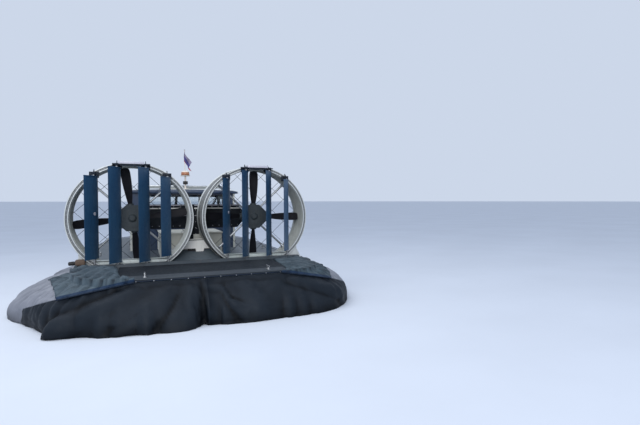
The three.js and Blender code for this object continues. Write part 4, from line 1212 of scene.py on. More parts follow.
def addRudder(name, side, number):
    spot, foot, top = rudder["offsets"][number], rudder["feet"][number], rudder["tops"][number]
    y = side * duct["offset"] + spot
    place = Matrix.Translation((rudder["x"], y, 0)) @ Matrix.Rotation(math.radians(rudder["rest"]), 4, "Z")
    shape = bmesh.new()
    section = wingSection(rudder["nose"], rudder["tail"], rudder["thickness"])
    addPrism(shape, section, "z", foot + 0.006, top - 0.006, 0.0, 0, place)
    plate = wingSection(rudder["nose"] + 0.004, rudder["tail"] - 0.004, rudder["thickness"] + 0.02)
    for low in (foot, top - 0.012 - 0.006):
        addPrism(shape, plate, "z", low, low + 0.006, 0.0, 0, place)
    for z in np.linspace(foot + 0.22, top - 0.24, 4):
        addPrism(shape, wingSection(rudder["nose"] - 0.002, rudder["tail"] + 0.01, rudder["thickness"] + 0.003), "z", z, z + 0.014, 0.0, 0, place)
    addTube(shape, [(0, 0, rudder["beamTop"] + 0.001), (0, 0, top + 0.011)], 0.012, 16, 1, False, place)
    addTube(shape, [(0, 0, foot - 0.028), (0, 0, foot)], 0.022, 16, 1, False, place)
    addTube(shape, [(0, 0, top - 0.012), (0, 0, top + 0.006)], 0.020, 16, 1, False, place)
    if number == 0:
        for way in (-1, 1):
            disc = Matrix.Translation((-0.02, way * 0.0235, (foot + top) / 2 + 0.05)) @ Matrix.Rotation(math.radians(90), 4, "X")
            addTube(shape, [(0, 0, -0.002), (0, 0, 0.002)], 0.026, 20, 2, False, place @ disc)
    body = f"rudder_{name}_{number + 1}"
    showPiece(f"{body}_blade", shape, ["rudderBlue", "steel", "plateGrey"], body, [body], 40)
    paths = []
    for way in (-1, 1):
        for x, half in ((0.055, 0.0215), (-0.05, 0.0205), (-0.21, 0.0065)):
            paths.append([place @ Vector((x, way * half, z)) for z in (foot + 0.03, top - 0.04)])
    facing = place.to_3x3() @ Vector((0, 1, 0))
    fasteners(f"{body}_rivets", "rivet", paths, 0.065, (0.0045, 0.0045, 0.0045), tuple(facing), "rudderBlue", body, None, False)


# propellers: four twisted blades in a bolted eight-sided drum
propeller = {
    "x": -2.75,
    "rest": {"port": -8.0, "starboard": 0.0},
    "drum": 0.212,
    # radius, chord, thickness, pitch in degrees
    "stations": ((0.13, 0.07, 0.055, 58), (0.21, 0.085, 0.036, 52), (0.28, 0.106, 0.027, 45), (0.38, 0.128, 0.020, 36), (0.48, 0.142, 0.016, 30),
                 (0.58, 0.150, 0.013, 25), (0.67, 0.152, 0.011, 22), (0.74, 0.150, 0.010, 20), (0.785, 0.138, 0.008, 19), (0.805, 0.112, 0.006, 18),
                 (0.812, 0.06, 0.004, 18)),
}


def addPropeller(name, side):
    centre = Matrix.Translation((propeller["x"], side * duct["offset"], duct["height"]))
    shape = bmesh.new()
    for n in range(4):
        turn = centre @ Matrix.Rotation(math.radians(90 * n + propeller["rest"][name]), 4, "X")
        sections = []
        for r, chord, thickness, pitch in propeller["stations"]:
            a = math.radians(pitch)
            ring = []
            for along, up in wingSection(0.42 * chord, -0.58 * chord, thickness, 9):
                up += 0.03 * chord * (1 - (2 * along / chord) ** 2)
                ring.append((along * math.sin(a) + up * math.cos(a), along * math.cos(a) - up * math.sin(a), r))
            sections.append(ring)
        addLoft(shape, sections, 0, turn)
        addTube(shape, [(0, 0, 0.15), (0, 0, 0.235)], (0.062, 0.05), 20, 1, False, turn)
    drum = [(propeller["drum"] * math.cos(a), propeller["drum"] * math.sin(a)) for a in (math.radians(22.5 + 45 * n) for n in range(8))]
    addPrism(shape, drum, "x", -0.092, 0.074, 0.014, 1, centre)
    addTube(shape, [(-0.100, 0, 0), (-0.088, 0, 0)], 0.15, 48, 1, False, centre)
    addTube(shape, [(-0.125, 0, 0), (-0.105, 0, 0), (-0.098, 0, 0)], (0.035, 0.062, 0.066), 32, 1, False, centre)
    addTube(shape, [(0.07, 0, 0), (0.112, 0, 0)], 0.032, 24, 2, False, centre)
    body = f"propeller_{name}"
    showPiece(f"{body}_blades", shape, ["bladeBlack", "driveGrey", "steel"], body, [body], 35)
    bolts = [[centre @ Vector((-0.101, 0.118 * math.cos(a), 0.118 * math.sin(a))) for a in np.linspace(0, 2 * math.pi, 49)[:-1]]]
    fasteners(f"{body}_bolts", "bolt", bolts, 0.0617, (0.008, 0.008, 0.005), (-1, 0, 0), "driveGrey", body, None, True)


# bearing frames and belt casings
casing = {"aft": -2.23, "fore": -2.11, "low": 1.15, "high": 1.56, "outer": 0.845, "post": 0.085, "gap": 0.004, "seam": 1.38}


def addPylon(name, side):
    cy, cz = side * duct["offset"], duct["height"]
    x = propeller["x"] + 0.21
    shape = bmesh.new()
    addTube(shape, [(x - 0.09, cy, cz), (x - 0.08, cy, cz), (x + 0.06, cy, cz), (x + 0.07, cy, cz)], (0.062, 0.07, 0.07, 0.062), 40)
    for dx in (-0.06, 0.035):
        addTube(shape, [(x + dx, cy, cz), (x + dx + 0.02, cy, cz)], 0.078, 40)
    for degrees in (45, 135, 225, 315):
        a = math.radians(degrees)
        out = Vector((0, math.cos(a), math.sin(a)))
        middle = Vector((x, cy, cz))
        addTube(shape, [middle + out * 0.06, middle + out * 0.822], 0.018, 16)
        addTube(shape, [middle + out * 0.775, middle + out * 0.80, middle + out * 0.828], (0.019, 0.03, 0.045), 20)
        turn = Matrix.Translation(middle) @ Matrix.Rotation(a, 4, "X")
        addBox(shape, (-0.05, 0.824, -0.045), (0.05, 0.832, 0.045), 0.003, 0, turn)
    showPiece(f"pylon_{name}_tubes", shape, ["tubeAlloy"], "craft", [f"pylon_{name}"], 40)


def casingOutline(side, inset=0.0):
    low, high, outer, post, gap = (casing[key] for key in ("low", "high", "outer", "post", "gap"))
    cy, cz = duct["offset"], duct["height"]
    points = [
        (gap + inset, 0.6004), (post - inset, 0.6004), (post - inset, low + inset), (outer - 0.09, low + inset), (outer - 0.01, cz - 0.11 + inset),
        (cy + 0.07, cz - 0.11 + inset), (cy + 0.11 - inset, cz - 0.05), (cy + 0.11 - inset, cz + 0.05), (cy + 0.07, cz + 0.11 - inset),
        (outer - 0.01, cz + 0.11 - inset), (outer - 0.09, high - inset), (gap + inset, high - inset),
    ]
    return [(side * y, z) for y, z in points]


def addCasing(name, side):
    aft, fore = casing["aft"], casing["fore"]
    cy, cz = side * duct["offset"], duct["height"]
    shape = bmesh.new()
    addPrism(shape, casingOutline(side), "x", aft, fore, 0.010)
    addPrism(shape, casingOutline(side, 0.022), "x", aft - 0.006, aft + 0.004, 0.002)
    ends = sorted((side * 0.02, side * 0.80))
    for level, half, finish in ((casing["seam"] - 0.012, 0.006, 1), (1.50, 0.009, 4)):
        addBox(shape, (aft - 0.014, ends[0], level - half), (aft - 0.004, ends[1], level + half), 0.001, finish)
    addBox(shape, (aft - 0.004, ends[0], casing["high"] - 0.012), (aft + 0.03, ends[1], casing["high"] + 0.003), 0.002, 1)
    addTube(shape, [(aft - 0.022, cy, cz), (aft - 0.012, cy, cz), (aft + 0.01, cy, cz)], (0.05, 0.062, 0.066), 32, 2)
    addTube(shape, [(-2.4696, cy, cz), (aft, cy, cz)], 0.032, 24, 2)
    if side < 0:
        addBox(shape, (aft - 0.014, -0.15, 0.74), (aft - 0.004, 0.0, 1.03), 0.004, 3)
        addBox(shape, (aft - 0.018, -0.13, 0.76), (aft - 0.012, -0.02, 0.80), 0.002, 3)
    showPiece(f"belt_casing_{name}_shell", shape, ["casingDark", "plateGrey", "steel", "panelCream", "fairCream"], "craft", [f"belt_casing_{name}"], 35)
    path = [[(aft - 0.007, y, z) for y, z in casingOutline(side, 0.035)]]
    fasteners(f"belt_casing_{name}_bolts", "bolt", path, 0.11, (0.007, 0.007, 0.004), (-1, 0, 0), "steel", "craft", None, True)


for name, side in sides:
    addDuct(name, side)
    addNet(name, side)
    for number in range(4):
        addRudder(name, side, number)
    addPropeller(name, side)
    addPylon(name, side)
    addCasing(name, side)
print("hovercraft: ducts, rudders and propellers made")


# small fairing between the rings, deck mat, battens, cleats and a mooring block
deckTrim = {
    "fairX": (-2.600, -2.586),
    "mat": ((-4.87, -1.04, 0.6242), (-4.47, 1.04, 0.630)),
    "batten": 0.007,
    "cleats": ((-4.62, 0.80), (-4.62, -0.80), (3.95, 0.75), (3.95, -0.75), (-0.9, 1.50), (-0.9, -1.50)),
}


def addDeckTrim():
    reach = duct["lip"] + 0.012
    shape = bmesh.new()
    levels = np.linspace(0.80, 0.945, 7)
    gaps = [duct["offset"] - math.sqrt(reach ** 2 - (duct["height"] - z) ** 2) for z in levels]
    outline = [(-y, z) for y, z in zip(gaps, levels)] + [(y, z) for y, z in zip(gaps[::-1], levels[::-1])]
    aft, fore = deckTrim["fairX"]
    addPrism(shape, outline, "x", aft, fore)
    addPrism(shape, [(-0.14, 0.80), (0.0, 0.80), (-0.012, 0.748), (-0.128, 0.748)], "x", aft + 0.002, fore)
    addBox(shape, (aft - 0.02, -0.125, 0.957), (fore + 0.02, 0.125, 0.969), 0.003)
    # dark rubber strip under the top slab: partly a real seal and partly painted shadow in the gap
    addBox(shape, (aft - 0.004, -0.12, 0.944), (fore, 0.12, 0.958), 0.002, 1)
    addBox(shape, (aft + 0.03, -0.12, 0.75), (fore + 0.03, 0.12, 0.95), 0.003, 1)
    # painted light: the fairing plate takes the brighter cream
    showPiece("duct_fairing", shape, ["fairCream", "rubber"], "craft")
    mat = bmesh.new()
    addBox(mat, *deckTrim["mat"], 0.002)
    showPiece("deck_mat", mat, ["matGrey"], "craft")
    batten = bmesh.new()
    for inset, z in ((0.004, 0.618), (0.05, 0.606)):
        path = [planPoint(skirt["deckPlan"], a, inset) + Vector((0, 0, z)) for a in evenAngles(skirt["deckPlan"], 0.06)[0][:-1]]
        if inset < 0.01:
            addTube(batten, path, deckTrim["batten"], 8, 0, True)
    showPiece("deck_edge_batten", batten, ["hemBlue"], "craft")
    path = [tuple(planPoint(skirt["deckPlan"], a, -0.004) + Vector((0, 0, 0.618))) for a in evenAngles(skirt["deckPlan"], 0.10)[0][:-1]]
    clear = [
        [p for p in path if p[0] < -4.5 and abs(p[1]) < 0.98],
        [p for p in path if p[0] > -3.15 and p[1] > 0], [p for p in path if p[0] > -3.15 and p[1] <= 0],
    ]
    fasteners("deck_edge_screws", "bolt", clear, 0.20, (0.006, 0.006, 0.004), finish="steel", centre=(0, 0, 0.618))
    for n, (x, y) in enumerate(deckTrim["cleats"]):
        cleat = bmesh.new()
        base = 0.624 if x < -3.4 else 0.600
        addBox(cleat, (x - 0.07, y - 0.02, base), (x + 0.07, y + 0.02, base + 0.010), 0.004)
        for dx in (-0.035, 0.035):
            addTube(cleat, [(x + dx, y, base + 0.005), (x + dx * 0.8, y, base + 0.045)], (0.014, 0.010), 12)
        addTube(cleat, [(x - 0.10, y, base + 0.056), (x - 0.05, y, base + 0.048), (x + 0.05, y, base + 0.048), (x + 0.10, y, base + 0.056)],
                (0.006, 0.012, 0.012, 0.006), 12)
        showPiece(f"cleat_{n + 1}", cleat, ["steel"], "craft")


def addBlock():
    # short timber and a black fender end beside the foot of the port ring
    shape = bmesh.new()
    addBox(shape, (-3.13, 1.575, 0.665), (-2.99, 1.70, 0.745), 0.012)
    addTube(shape, [(-3.06, 1.69, 0.695), (-3.06, 1.72, 0.695), (-3.06, 1.775, 0.69), (-3.06, 1.79, 0.69)], (0.022, 0.030, 0.030, 0.020), 18, 1)
    addBox(shape, (-3.11, 1.59, 0.6004), (-3.01, 1.69, 0.668), 0.004, 1)
    showPiece("mooring_block", shape, ["brownWood", "rubber"], "craft")


addDeckTrim()
addBlock()
print("hovercraft: deck trim made")

# cabin: roof, window seals, door gear, rails, wipers, lamps
cabin = {
    "aft": -0.3, "straight": 2.2, "front": 3.3, "half": 1.02, "nose": 0.80, "eaves": 1.79,
    "roof": (-0.36, 2.33), "roofHalf": 1.08, "roofEdge": 1.86, "crown": 1.886,
    "door": (0.3, 1.25, 0.645, 1.74),
    "sideWindow": (1.37, 2.08, 1.23, 1.69),
    "doorWindow": (0.41, 1.14, 1.23, 1.67),
    "rearWindow": (-0.86, 0.86, 1.33, 1.765),
    "hinges": (0.85, 1.55),
}


def rectangle(a0, a1, b0, b1, corner=0.0):
    outline = [(a0, b0), (a1, b0), (a1, b1), (a0, b1)]
    return rounded(outline, corner, 4) if corner else outline


def addRoof():
    half, edge, crown, eaves = (cabin[key] for key in ("roofHalf", "roofEdge", "crown", "eaves"))
    aft, fore = cabin["roof"]
    shape = bmesh.new()
    sections = []
    for x, inset in ((aft, 0.016), (aft + 0.006, 0.005), (aft + 0.02, 0.0), (fore - 0.02, 0.0), (fore - 0.006, 0.005), (fore, 0.016)):
        wide = half - inset
        section = [(x, -wide + 0.012, eaves + inset), (x, wide - 0.012, eaves + inset), (x, wide, eaves + 0.012 + inset), (x, wide, edge - 0.022 - inset)]
        for n in range(1, 24):
            y = (half - 0.012) * (1 - n / 12)
            section.append((x, y * wide / half, edge - 0.004 - inset + (crown - edge) * (1 - (y / half) ** 2)))
        section.append((x, -wide, edge - 0.022 - inset))
        sections.append(section)
    addLoft(shape, sections)
    for face in shape.faces:
        middle = face.calc_center_median()
        if face.normal.z > 0.8 and middle.z > edge - 0.02:
            face.material_index = 1
    for y in (-0.72, -0.36, 0.36, 0.72):
        z = edge + (crown - edge) * (1 - (y / half) ** 2) - 0.004
        addBox(shape, (aft + 0.14, y - 0.02, z - 0.006), (fore - 0.20, y + 0.02, z + 0.010), 0.005, 1)
    showPiece("cabin_roof_shell", shape, ["trimBlue", "panelCream"], "craft", ["cabin_roof"])
    hatch = bmesh.new()
    addBox(hatch, (1.02, -0.28, crown - 0.010), (1.58, 0.28, crown + 0.012), 0.008)
    addBox(hatch, (1.04, -0.26, crown + 0.010), (1.56, 0.26, crown + 0.032), 0.012)
    showPiece("roof_panel", hatch, ["panelCream"], "craft")
    gutter = bmesh.new()
    for _, side in sides:
        addTube(gutter, [(aft + 0.03, side * (half + 0.004), eaves + 0.016), (fore - 0.03, side * (half + 0.004), eaves + 0.016)], 0.008, 8)
        for low, high in ((0.05, 0.75), (1.05, 1.80)):
            y, z = side * (half - 0.09), edge + 0.004
            addTube(gutter, [(low, y, z), (low + 0.02, y, z + 0.045), (high - 0.02, y, z + 0.045), (high, y, z)], 0.011, 12, 1)
    showPiece("roof_edge_rails", gutter, ["rubber", "tubeAlloy"], "craft")


def sealLoop(target, outline, axis, level, radius=0.008, finish=0):
    points = [(level, a, b) if axis == "x" else (a, level, b) for a, b in rounded(outline, 0.03, 5)]
    addTube(target, points, radius, 8, finish, True)


def addSeals():
    half = cabin["half"]
    seals = bmesh.new()
    y0, y1, z0, z1 = cabin["rearWindow"]
    for level in (cabin["aft"] - 0.001, cabin["aft"] + 0.041):
        sealLoop(seals, rectangle(y0 + 0.004, y1 - 0.004, z0 + 0.004, z1 - 0.004), "x", level)
    for y in (-0.29, 0.29):
        addBox(seals, (cabin["aft"] + 0.004, y - 0.012, z0), (cabin["aft"] + 0.036, y + 0.012, z1), 0.003)
    for _, side in sides:
        for level in (half + 0.001, half - 0.041):
            sealLoop(seals, rectangle(*[c + d for c, d in zip(cabin["sideWindow"], (0.004, -0.004, 0.004, -0.004))]), "y", side * level)
        addBox(seals, *[(x, side * half - 0.016, z) for x, z in ((1.72, 1.23), (1.74, 1.69))], 0.002)
    showPiece("window_seals", seals, ["rubber"], "craft")
    screws = []
    for _, side in sides:
        screws.append([(x, side * (half + 0.001), z) for x, z in rounded(rectangle(1.34, 2.11, 1.20, 1.72), 0.03, 4)])
    for n, path in enumerate(screws):
        fasteners(f"side_window_screws_{sides[n][0]}", "bolt", [path], 0.10, (0.005, 0.005, 0.003), (0, sides[n][1], 0), "steel", loop=True)


def addDoorGear(name, side):
    half = cabin["half"]
    x0, x1, z0, z1 = cabin["door"]
    face = side * (half + 0.001)
    gear = bmesh.new()
    for level in (face, side * (half - 0.041)):
        sealLoop(gear, rectangle(*[c + d for c, d in zip(cabin["doorWindow"], (0.004, -0.004, 0.004, -0.004))]), "y", level)
    for low, high in ((0.72, 0.94), (0.96, 1.18)):
        outline = rounded(rectangle(x0 + 0.08, x1 - 0.08, low, high), 0.03, 4)
        addTube(gear, [(x, face - side * 0.002, z) for x, z in outline], 0.005, 6, 1, True)
    handle = x0 + 0.07
    ends = sorted((face - side * 0.002, face + side * 0.008))
    addBox(gear, (handle - 0.022, ends[0], 1.02), (handle + 0.022, ends[1], 1.16), 0.004, 2)
    addTube(gear, [(handle, face, 1.12), (handle, face + side * 0.04, 1.12), (handle + 0.015, face + side * 0.05, 1.12), (handle + 0.12, face + side * 0.05, 1.115)],
            0.008, 10, 2)
    addTube(gear, [(handle, face, 1.05), (handle, face + side * 0.014, 1.05)], 0.010, 14, 2)
    for z in cabin["hinges"]:
        ends = sorted((face - side * 0.001, face + side * 0.006))
        addBox(gear, (x1 - 0.10, ends[0], z - 0.04), (x1 - 0.012, ends[1], z + 0.04), 0.002, 2)
    showPiece(f"door_gear_{name}", gear, ["rubber", "panelCream", "steel"], f"door_{name}")


def addScreen():
    foot, head = Vector((3.27, 0, 1.022)), Vector((2.26, 0, 1.768))
    slope = (head - foot).normalized()
    out = slope.cross(Vector((0, 1, 0)))
    if out.x < 0:
        out = -out
    rise = (head - foot).length
    shape = bmesh.new()

    def spot(across, up, lift=0.0):
        return foot + Vector((0, across, 0)) + slope * up + out * lift
    for _, side in sides:
        outline = [spot(side * 0.026, 0.048, 0.019), spot(side * 0.742, 0.048, 0.019), spot(side * 0.952, rise - 0.048, 0.019), spot(side * 0.026, rise - 0.048, 0.019)]
        addTube(shape, outline, 0.007, 8, 0, True)
        pivot = spot(side * 0.40, 0.012, 0.03)
        tip = spot(side * 0.16, 0.62, 0.034)
        addTube(shape, [spot(side * 0.40, 0.012, 0.0), pivot, tip], (0.012, 0.009, 0.005), 10, 0)
        low, high = tip - slope * 0.26 + Vector((0, side * 0.03, 0)), tip + slope * 0.20 - Vector((0, side * 0.02, 0))
        addTube(shape, [low - out * 0.012, high - out * 0.012], 0.005, 8, 0)
        addTube(shape, [low - out * 0.019, high - out * 0.019], 0.004, 6, 0)
        addTube(shape, [spot(side * 0.40, 0.012, 0.012), spot(side * 0.40, 0.012, 0.036)], 0.020, 16, 1)
    showPiece("wipers_and_seals", shape, ["rubber", "steel"], "craft")
    for name, side in sides:
        place = Matrix.Translation((2.204, side * 0.985, 0)) @ Matrix.Rotation(-side * math.atan(0.2), 4, "Z")
        outline = [(0.0, 1.003), (1.052, 1.003), (0.058, 1.744), (0.0, 1.77)]
        pane = bmesh.new()
        addPrism(pane, outline, "y", -0.003, 0.003, 0.0, 0, place)
        showPiece(f"quarter_pane_{name}", pane, ["glass"], "craft")
        frame = bmesh.new()
        for way in (-1, 1):
            addTube(frame, [(x, way * 0.006, z) for x, z in rounded([(0.012, 1.012), (1.03, 1.012), (0.064, 1.728), (0.012, 1.75)], 0.02, 4)], 0.009, 8, 0, True, place)
        ends = (-0.005, 0.005)
        addPrism(frame, [(-0.002, 1.0005), (0.018, 1.0005), (0.018, 1.775), (-0.002, 1.775)], "y", *ends, 0.0, 1, place)
        addPrism(frame, [(0.0, 1.0005), (1.06, 1.0005), (1.03, 1.018), (0.0, 1.018)], "y", *ends, 0.0, 1, place)
        showPiece(f"quarter_frame_{name}", frame, ["rubber", "trimBlue"], "craft")
    edges = []
    for side in (-1, 1):
        edges.append([tuple(spot(side * 0.775, 0.02, 0.0185)), tuple(spot(side * 0.985, rise - 0.02, 0.0185))])
    edges.append([tuple(spot(-0.74, 0.018, 0.0185)), tuple(spot(0.74, 0.018, 0.0185))])
    fasteners("windscreen_screws", "bolt", edges, 0.14, (0.006, 0.006, 0.003), tuple(out), "steel")


def addLamps(name, side):
    shape = bmesh.new()
    cy, cz, x = side * 0.6, 0.8, cabin["front"]
    addTurned(shape, rounded([(0.02, x + 0.0005), (0.058, x + 0.0005), (0.080, x + 0.036), (0.085, x + 0.044), (0.085, x + 0.088), (0.074, x + 0.094),
                              (0.070, x + 0.084), (0.050, x + 0.030), (0.02, x + 0.022)], 0.003, 2), (cy, cz), 40, 3)
    for face in shape.faces:
        middle = face.calc_center_median()
        if math.hypot(middle.y - cy, middle.z - cz) < 0.0715 and middle.x > x + 0.02:
            face.material_index = 0
    addTube(shape, [(x + 0.020, cy, cz), (x + 0.050, cy, cz)], 0.014, 16, 1)
    addTube(shape, [(px, cy, cz) for r, px in ((0.070, x + 0.080), (0.070, x + 0.086), (0.055, x + 0.091), (0.03, x + 0.094))], (0.070, 0.070, 0.055, 0.03), 40, 2)
    showPiece(f"headlamp_{name}_unit", shape, ["chrome", "paleCap", "lampLens", "rubber"], "craft", [f"headlamp_{name}"])
    shape = bmesh.new()
    y = side * (cabin["half"] + 0.022)
    ends = sorted((side * (cabin["half"] + 0.0005), side * (cabin["half"] + 0.014)))
    addBox(shape, (2.07, ends[0], 1.725), (2.17, ends[1], 1.785), 0.004)
    ends = sorted((side * (cabin["half"] + 0.013), side * (cabin["half"] + 0.040)))
    addBox(shape, (2.085, ends[0], 1.735), (2.155, ends[1], 1.775), 0.008, 1)
    showPiece(f"side_lamp_{name}", shape, ["rubber", "lampRed" if side > 0 else "lampGreen"], "craft")


def addCowlTrim():
    shape = bmesh.new()
    front, nose = cabin["front"], cabin["nose"]
    addTube(shape, [(cabin["straight"] + 0.01, -cabin["half"] - 0.004, 0.74), (front + 0.004, -nose - 0.002, 0.74)], 0.012, 10)
    addTube(shape, [(cabin["straight"] + 0.01, cabin["half"] + 0.004, 0.74), (front + 0.004, nose + 0.002, 0.74)], 0.012, 10)
    addTube(shape, [(front + 0.004, -nose, 0.66), (front + 0.004, nose, 0.66)], 0.014, 10)
    for _, side in sides:
        addTube(shape, [(cabin["aft"], side * (cabin["half"] + 0.003), 0.74), (0.27, side * (cabin["half"] + 0.003), 0.74)], 0.012, 10)
        addTube(shape, [(1.29, side * (cabin["half"] + 0.003), 0.74), (cabin["straight"], side * (cabin["half"] + 0.003), 0.74)], 0.012, 10)
    showPiece("cabin_rub_rails", shape, ["rubber"], "craft")
    grille = bmesh.new()
    addBox(grille, (front - 0.001, -0.26, 0.845), (front + 0.008, 0.26, 0.955), 0.004)
    for z in np.arange(0.86, 0.945, 0.018):
        tilt = Matrix.Translation((front + 0.010, 0, z)) @ Matrix.Rotation(math.radians(35), 4, "Y")
        addBox(grille, (-0.009, -0.24, -0.0015), (0.009, 0.24, 0.0015), 0.0, 0, tilt)
    for side in (-1, 1):
        addTube(grille, [(front + 0.25, side * 0.35, 0.60), (front + 0.25, side * 0.35, 0.64), (front + 0.30, side * 0.35, 0.66), (front + 0.35, side * 0.35, 0.64),
                         (front + 0.35, side * 0.35, 0.60)], 0.010, 12, 1)
    showPiece("cowl_grille", grille, ["trimBlue", "steel"], "craft")
    paths = []
    for _, side in sides:
        for z in (0.625, 1.19, 1.765):
            for a, b in ((cabin["aft"] + 0.03, 0.27), (1.29, cabin["straight"] - 0.03)):
                paths.append([(a, side * (cabin["half"] + 0.0005), z), (b, side * (cabin["half"] + 0.0005), z)])
        for x in (cabin["aft"] + 0.02, 1.31, cabin["straight"] - 0.02):
            paths.append([(x, side * (cabin["half"] + 0.0005), 0.63), (x, side * (cabin["half"] + 0.0005), 1.77)])
    for n, (name, side) in enumerate(sides):
        own = [path for path in paths if path[0][1] * side > 0]
        fasteners(f"cabin_rivets_{name}", "rivet", own, 0.09, (0.005, 0.003, 0.005), (0, 0, 1), "steel")
    rear = [[(cabin["aft"] - 0.0005, y, 0.63), (cabin["aft"] - 0.0005, y, 1.30)] for y in (-0.95, -0.48, 0.0, 0.48, 0.95)]
    fasteners("rear_wall_rivets", "rivet", rear, 0.09, (0.003, 0.005, 0.005), (0, 0, 1), "steel")


addRoof()
addSeals()
addScreen()
addCowlTrim()
for name, side in sides:
    addDoorGear(name, side)
    addLamps(name, side)
print("hovercraft: cabin made")

# seats: one cushion and one back pad are puffed up by pressure, then set on every seat
seats = {
    "width": 0.535,
    "voxel": 0.016,
    "pressure": 4.0,
    "frames": 20,
    "cap": 0.022,
    "cushion": ((0.15, 0.585, 0.712, 0.790), 0.022),
    "back": ((-0.030, 0.030, 0.0, 0.42), 0.018),
    "rows": (("seat_helm", 1.75, (0.425,)), ("seat_mate", 1.75, (-0.425,)),
             ("bench_middle", 0.75, (-0.56, 0.0, 0.56)), ("bench_rear", -0.15, (-0.56, 0.0, 0.56))),
}


def puffedPad(low, high, corner):
    shape = bmesh.new()
    addBox(shape, low, high, corner)
    mesh = bpy.data.meshes.new("pad")
    shape.to_mesh(mesh)
    shape.free()
    pad = bpy.data.objects.new("pad", mesh)
    bpy.context.scene.collection.objects.link(pad)
    remesh = pad.modifiers.new("voxels", "REMESH")
    remesh.mode = "VOXEL"
    remesh.voxel_size = seats["voxel"]
    graph = bpy.context.evaluated_depsgraph_get()
    fine = bpy.data.meshes.new_from_object(pad.evaluated_get(graph))
    pad.modifiers.clear()
    pad.data = fine
    start = np.array([vert.co for vert in fine.vertices])
    cloth = pad.modifiers.new("cloth", "CLOTH")
    cloth.settings.quality = 6
    cloth.settings.use_pressure = True
    cloth.settings.uniform_pressure_force = seats["pressure"]
    cloth.settings.tension_stiffness = 18
    cloth.settings.compression_stiffness = 18
    cloth.settings.bending_stiffness = 0.6
    cloth.settings.shrink_min = -0.03
    cloth.settings.shrink_max = -0.03
    cloth.settings.effector_weights.gravity = 0
    cloth.point_cache.frame_end = seats["frames"]
    for number in range(1, seats["frames"] + 1):
        bpy.context.scene.frame_set(number)
    settled = pad.evaluated_get(bpy.context.evaluated_depsgraph_get()).to_mesh()
    moved = np.array([vert.co for vert in settled.vertices]) - start
    far = np.linalg.norm(moved, axis=1, keepdims=True)
    cells = [tuple(face.vertices) for face in fine.polygons]
    bpy.data.objects.remove(pad)
    bpy.context.scene.frame_set(1)
    return start + moved * np.minimum(1, seats["cap"] / np.maximum(far, 1e-9)), cells


def addPad(name, points, cells, matrix, seat, number):
    mesh = bpy.data.meshes.new(name)
    mesh.from_pydata([tuple(matrix @ Vector(point)) for point in points.tolist()], [], cells)
    mesh.update()
    piece = showPiece(name, mesh, ["seatCloth"], "craft", [seat] if number == 0 and name.endswith("cushion_1") else [], 180)
    smooth = piece.modifiers.new("smooth", "SUBSURF")
    smooth.levels = smooth.render_levels = 1


def addSeats():
    wide = seats["width"] / 2 - 0.012
    (x0, x1, z0, z1), corner = seats["cushion"]
    cushion = puffedPad((x0, -wide, z0), (x1, wide, z1), corner)
    (b0, b1, c0, c1), corner = seats["back"]
    back = puffedPad((b0, -wide, c0), (b1, wide, c1), corner)
    for seat, x, places in seats["rows"]:
        lean = Matrix.Rotation(math.radians(-10.0), 4, "Y")
        for number, y in enumerate(places):
            addPad(f"{seat}_cushion_{number + 1}", *cushion, Matrix.Translation((x, y, 0)), seat, number)
            addPad(f"{seat}_back_{number + 1}", *back, Matrix.Translation((x + 0.115, y, 0.815)) @ lean, seat, number)
        low, high = places[0] - 0.27, places[-1] + 0.27
        shell = bmesh.new()
        addBox(shell, (x + 0.13, low, 0.4004), (x + 0.56, high, 0.700), 0.015)
        addBox(shell, (x + 0.12, low - 0.004, 0.690), (x + 0.60, high + 0.004, 0.706), 0.006, 1)
        addBox(shell, (-0.012, low, 0.0), (0.0, high, 0.46), 0.005, 1, Matrix.Translation((x + 0.078, 0, 0.79)) @ lean)
        for y in (low + 0.05, high - 0.05):
            addTube(shell, [(x + 0.09, y, 0.70), (x + 0.075, y, 0.80), (x + 0.0, y, 1.235)], 0.012, 10, 1)
        showPiece(f"{seat}_shell", shell, ["hullPaint", "bracketDark"], "craft")


addSeats()
print("hovercraft: seats made")

# helm: console with dials, lever and wheel
helm = {"wheel": (2.53, 0.425, 0.925), "tilt": 0.5, "radius": 0.17, "rim": 0.014}


